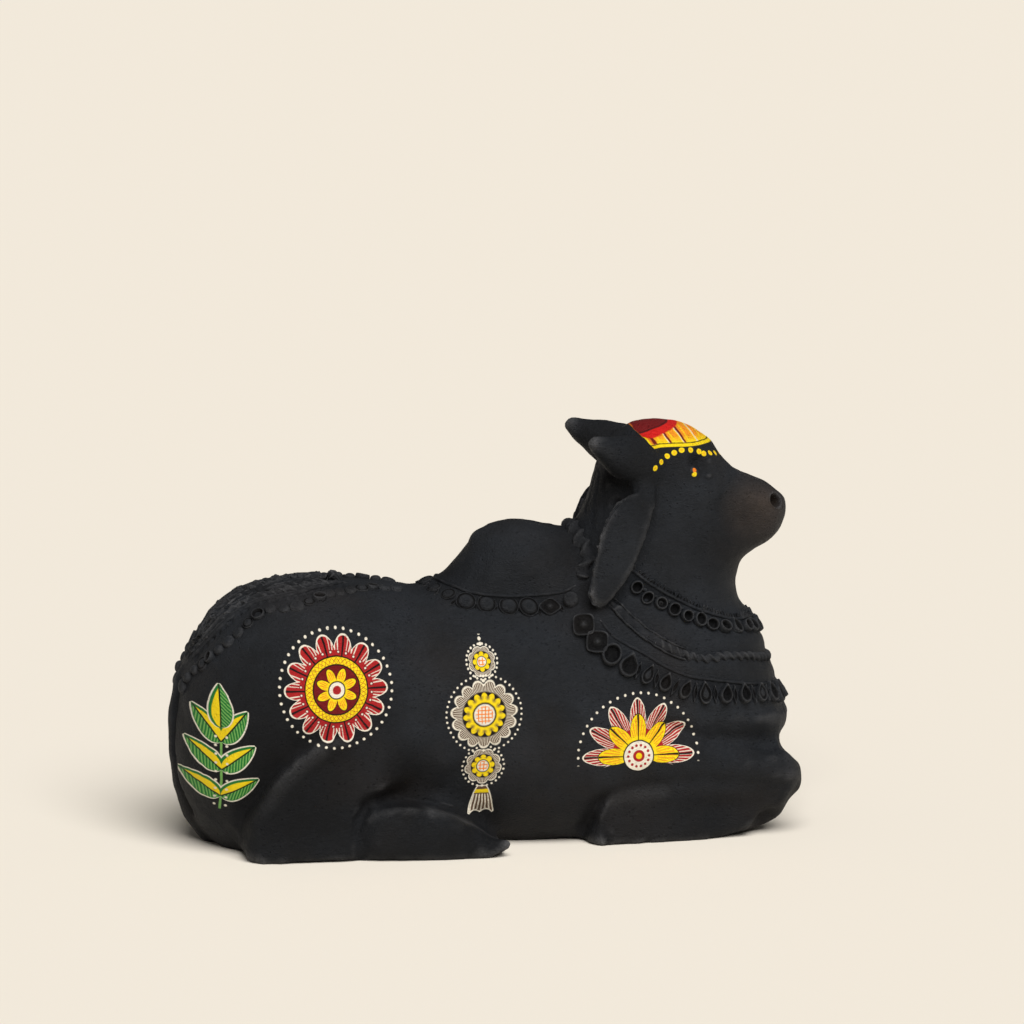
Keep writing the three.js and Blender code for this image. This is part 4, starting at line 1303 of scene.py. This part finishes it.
def roll(bm, line, half_width, height, sides=8, twist=0.0, flat=1.0, sink=0.15):
    """A roll of clay on a line of seats. Twist is its turns per share, flat its section's ratio."""
    steps = [(b.translation - a.translation).length for a, b in zip(line, line[1:])]
    turned = np.cumsum([0, *steps]) / SHARE * twist * math.tau
    sunk = Matrix.Translation((0, 0, -sink * height * SHARE))

    def section(i):
        ends = min(i + 1, len(line) - i, TAPER) / TAPER * SHARE
        grow = Matrix.Diagonal((1, half_width * ends, height * ends, 1))
        spin = Matrix.Rotation(turned[i], 4, "Z") @ Matrix.Diagonal((1, flat, 1, 1))
        return line[i] @ sunk @ grow @ UPRIGHT @ spin

    ring = bmesh.ops.create_circle(bm, cap_ends=True, segments=sides, radius=1)["verts"]
    top = list({face for v in ring for face in v.link_faces})
    last = section(0)
    bmesh.ops.transform(bm, matrix=last, verts=ring)
    for i in range(1, len(line)):
        ring, top = pull(bm, top, first=i == 1)
        here = section(i)
        bmesh.ops.transform(bm, matrix=here @ last.inverted(), verts=ring)
        last = here


# %% From worked clay to a piece
SOFT_WAVES, ROUGH_WAVES = [(1.6, 0.05)], [(1.3, 0.16)]
PIECE_WEAR = (1.6, 0.1)


def finished(name, bm, levels=1, waves=SOFT_WAVES):
    """Turns worked clay into a piece that rides on the body."""
    bmesh.ops.recalc_face_normals(bm, faces=bm.faces)
    mesh = bpy.data.meshes.new(name)
    bm.to_mesh(mesh)
    bm.free()
    uneven(mesh, waves)
    rubbing(mesh, *PIECE_WEAR)
    mesh.shade_smooth()
    mesh.materials.append(black_clay)
    # the second finish is the clay darkened by painted shade, for the pellets' hollows
    mesh.materials.append(painted_shade_clay)
    piece = bpy.data.objects.new(name, mesh)
    scene.collection.objects.link(piece)
    if levels:
        soften = piece.modifiers.new("soften", "SUBSURF")
        soften.levels = soften.render_levels = levels
    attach(piece, "root")
    print(name, len(mesh.polygons), "faces")


def rolled(name, lines, half_width, height, levels=1, waves=SOFT_WAVES, **shape):
    """A piece made of rolls of one thickness, each on its own line of seats."""
    bm = bmesh.new()
    for line in lines:
        roll(bm, line, half_width, height, **shape)
    finished(name, bm, levels, waves)


class Hand:
    """A maker's hand, which presses each pellet with its own seeded small differences."""

    def __init__(self, seed):
        self.random = random.Random(seed)

    def press(self, bm, pellet, seat, size, spread=0.1, turn=14, lean=7):
        """Presses a pellet of some half length, half width and height, in shares, at a seat."""
        draw = self.random.uniform
        size = [s * SHARE * draw(1 - spread, 1 + spread) for s in size]
        turn, forward, aside = (math.radians(draw(-by, by)) for by in (turn, lean, lean))
        start = len(bm.verts)
        bm.from_mesh(pellet)
        bm.verts.ensure_lookup_table()
        tilt = Matrix.Rotation(forward, 4, "X") @ Matrix.Rotation(aside, 4, "Y")
        matrix = seat @ tilt @ Matrix.Rotation(turn, 4, "Z") @ Matrix.Diagonal((*size, 1))
        bmesh.ops.transform(bm, matrix=matrix, verts=bm.verts[start:])


# %% [markdown]
# Three necklaces hang on the neck. The collar is a thin welt with a row of rings below it: the
# first ones are pellets poked with a hollow reed, and towards the breast they turn into
# squeezed tall ones. Below it hangs a twisted rope, and lowest a thin welt with pendants
# that grow from narrow tears at the breast to broad lozenges at the shoulder.

# %% The collar
hand = Hand(3)
rolled("collar_welt", [seats(COLLAR_RIDGE, 0.7)], 0.34, 0.42)

rings = bmesh.new()
for from_ear, seat in from_the_ears(COLLAR_RINGS, 2.3):
    kind = RING if from_ear % 6 == 2 else CUP
    if from_ear > 6:
        kind = (HOLLOW_TEAR, CUP)[from_ear % 2]
    size = (1.0, 1.25, 1.0) if kind is HOLLOW_TEAR else (1.1, 1.14, 1.1)
    hand.press(rings, kind, seat, size, turn=20, lean=10)
for seat in seats(COLLAR_RINGS, 1.15)[1::2]:
    hand.press(rings, BEAD, shifted(seat, 0.75), (0.34, 0.44, 0.5), spread=0.3, turn=90)
finished("collar_rings", rings)

teeth = bmesh.new()
for seat in seats(COLLAR_RIDGE, 0.62):
    hand.press(teeth, LEAF_PELLET, shifted(seat, 0.42), (0.2, 0.5, 0.34), spread=0.25, turn=30)
finished("collar_teeth", teeth, levels=0)

# %% The twisted rope
rope_seats = seats(TWISTED_ROPE[3:], 0.2)
rope_shape = {"sides": 10, "twist": 0.34, "flat": 0.58}
rolled("twisted_rope", [rope_seats], 0.85, 1.0, levels=0, waves=ROUGH_WAVES, **rope_shape)

band = bmesh.new()
for line in both(TWISTED_ROPE[:6], 0.5):
    roll(band, line, 0.95, 0.75, sides=12)
    for across in (-0.85, 0.85):
        roll(band, [shifted(seat, across, 0.4) for seat in line], 0.2, 0.3, sides=6)
for seat in seats(TWISTED_ROPE[:5], 0.9, round_the_body=False):
    edge = shifted(seat, 0.8)
    for at in (edge, FLIP @ edge @ FLIP):
        hand.press(band, BEAD, at, (0.3, 0.24, 0.5), spread=0.3, turn=90)
finished("rope_band", band, waves=[(1.2, 0.1)])

# %% The breast chain
rolled("breast_welt", [seats(BREAST_RIDGE, 0.7)], 0.3, 0.36)

pendants = bmesh.new()
for from_ear, seat in from_the_ears(BREAST_PENDANTS, 3.3):
    if from_ear < 2:
        hand.press(pendants, BOX, seat, (2.3, 2.3, 1.25), spread=0.05)
    elif from_ear < 4:
        kind = (CUP, HOLLOW_TEAR)[from_ear % 2]
        hand.press(pendants, kind, seat, (1.75, 1.85, 1.0), spread=0.05)
    else:
        kind = TEAR if from_ear % 3 == 1 else HOLLOW_TEAR
        hand.press(pendants, kind, seat, (1.12, 1.65, 1.1))
finished("breast_pendants", pendants)

leaves = bmesh.new()
for i, (from_ear, seat) in enumerate(from_the_ears(BREAST_PENDANTS, 1.65)):
    if i % 2 and from_ear > 6:
        hand.press(leaves, LEAF_PELLET, seat, (0.5, 1.5, 0.8))
finished("breast_leaves", leaves)


# %% [markdown]
# Round the hump runs a garland of flat discs under a thin welt, and over the nape, between
# the ears, a thick roll that was pinched as it was laid down.

# %% The hump garland and the nape roll
BEHIND_THE_HUMP = 2.6
rolled("hump_welt", [seats(HUMP_RIDGE, 0.7)], 0.3, 0.36)

discs = bmesh.new()
disc_seats = from_the_ears(HUMP_DISCS, 3.45)
for from_ear, seat in disc_seats:
    if from_ear == 0:
        hand.press(discs, BEAD, seat, (1.3, 1.3, 1.05))
    elif from_ear == 1:
        hand.press(discs, BOX, seat, (2.1, 1.5, 1.0))
    else:
        from_middle = (len(disc_seats) - 1) / 2 - from_ear
        size = (1.66, 1.62, 1.05) if from_middle > BEHIND_THE_HUMP else (1.25, 1.2, 0.6)
        hand.press(discs, DISC, seat, size, spread=0.06, turn=180)
for seat in seats(HUMP_DISCS, 1.725)[1::2]:
    hand.press(discs, LEAF_PELLET, shifted(seat, 0.7), (0.4, 0.9, 0.5), spread=0.2, turn=30)
finished("hump_discs", discs)

nape_seats = seats(NAPE_ROLL, 0.26)
rolled("nape_roll", [nape_seats], 1.5, 1.3, levels=0, sides=12, twist=0.19, flat=0.6)


# %% [markdown]
# The cloth on the rump is edged with a row of beads, large and small by turns. Inside them
# runs a thin welt, and three braids lie along the cloth on each side of the spine.

# %% The edge of the rump cloth
crupper = bmesh.new()
for line in both(CRUPPER_BEADS, 2.1):
    for i, seat in enumerate(line):
        big = 1.0 if i % 3 else 1.2
        kind = (BEAD, DISC, BEAD, CUP, BEAD)[(i * 7) % 5]
        size = (1.08 * big, 1.02 * big, 0.82)
        hand.press(crupper, kind, shifted(seat, 0, -0.22), size, spread=0.16, turn=90)
finished("rump_cloth_beads", crupper)
rolled("rump_cloth_welt", both(CRUPPER_RIDGE, 0.6), 0.34, 0.36, waves=[(1.2, 0.12)])

# %% The braids on the rump cloth
braid_lines = []
for aside in BRAIDS:
    braid_lines += both(moved(CRUPPER_RIDGE, 0, -aside, BRAID_RISE * aside), 0.24)
braid_shape = {"twist": 0.3, "flat": 0.6, "sink": 0.7}
rolled("rump_cloth_braids", braid_lines, 0.85, 0.62, levels=0, waves=ROUGH_WAVES, **braid_shape)


# %% [markdown]
# The ears have a thin rim along their rear edge, where the clay was pinched flat and the
# fingers pushed a little of it up.

# %% The rims of the ears
EAR_RIM = [
    (21.4, 10.6, 54.6), (18.8, 11.2, 52.0), (17.4, 11.4, 48.6), (15.9, 11.8, 44.7),
    (14.9, 12.2, 41.6), (14.6, 12.6, 39.2), (15.4, 13.2, 37.6), (16.8, 13.4, 37.3),
]

rolled("ear_rims", both(EAR_RIM, 0.6), 0.26, 0.3)


# %% [markdown]
# The studio is a pale cream floor that fills the view, under a broad soft light from above the
# camera and an even glow all round. A matt black figure needs both: the glow gives the
# shaded side its form, and the broad light the quiet sheen on what faces up.

# %% The studio
FLOOR_COLOUR = tint(243, 236, 224)
GLOW = tint(255, 253, 250)
GLOW_STRENGTH = 0.11
LIGHT_FROM, LIGHT_WIDTH, LIGHT_STRENGTH = (0.12, -1.0, 1.1), 46, 3.75
FLOOR_SIZE = 30

floor_shape = bmesh.new()
bmesh.ops.create_grid(floor_shape, x_segments=1, y_segments=1, size=FLOOR_SIZE)
floor_mesh = bpy.data.meshes.new("studio_floor")
floor_shape.to_mesh(floor_mesh)
floor_shape.free()
floor_finish = Finish("cream_floor")
FLOOR_LOOK = {"Base Color": FLOOR_COLOUR, "Roughness": 0.95, "Specular IOR Level": 0.0}
for socket, value in FLOOR_LOOK.items():
    floor_finish.feed(floor_finish.shader.inputs[socket], value)
floor_mesh.materials.append(floor_finish.material)
floor = bpy.data.objects.new("studio_floor", floor_mesh)
scene.collection.objects.link(floor)

world = bpy.data.worlds.new("soft_glow")
world.use_nodes = True
background = world.node_tree.nodes["Background"].inputs
background["Color"].default_value = GLOW
background["Strength"].default_value = GLOW_STRENGTH
scene.world = world
scene.view_settings.view_transform = "Standard"

# the light stands far off, so that the floor is lit evenly, and is wide, for soft shadows
light = bpy.data.lights.new("key_light", "SUN")
light.angle, light.energy, light.color = math.radians(LIGHT_WIDTH), LIGHT_STRENGTH, GLOW[:3]
lamp = bpy.data.objects.new("key_light", light)
lamp.rotation_euler = Vector(LIGHT_FROM).to_track_quat("Z", "Y").to_euler()
scene.collection.objects.link(lamp)
print("light and floor set")
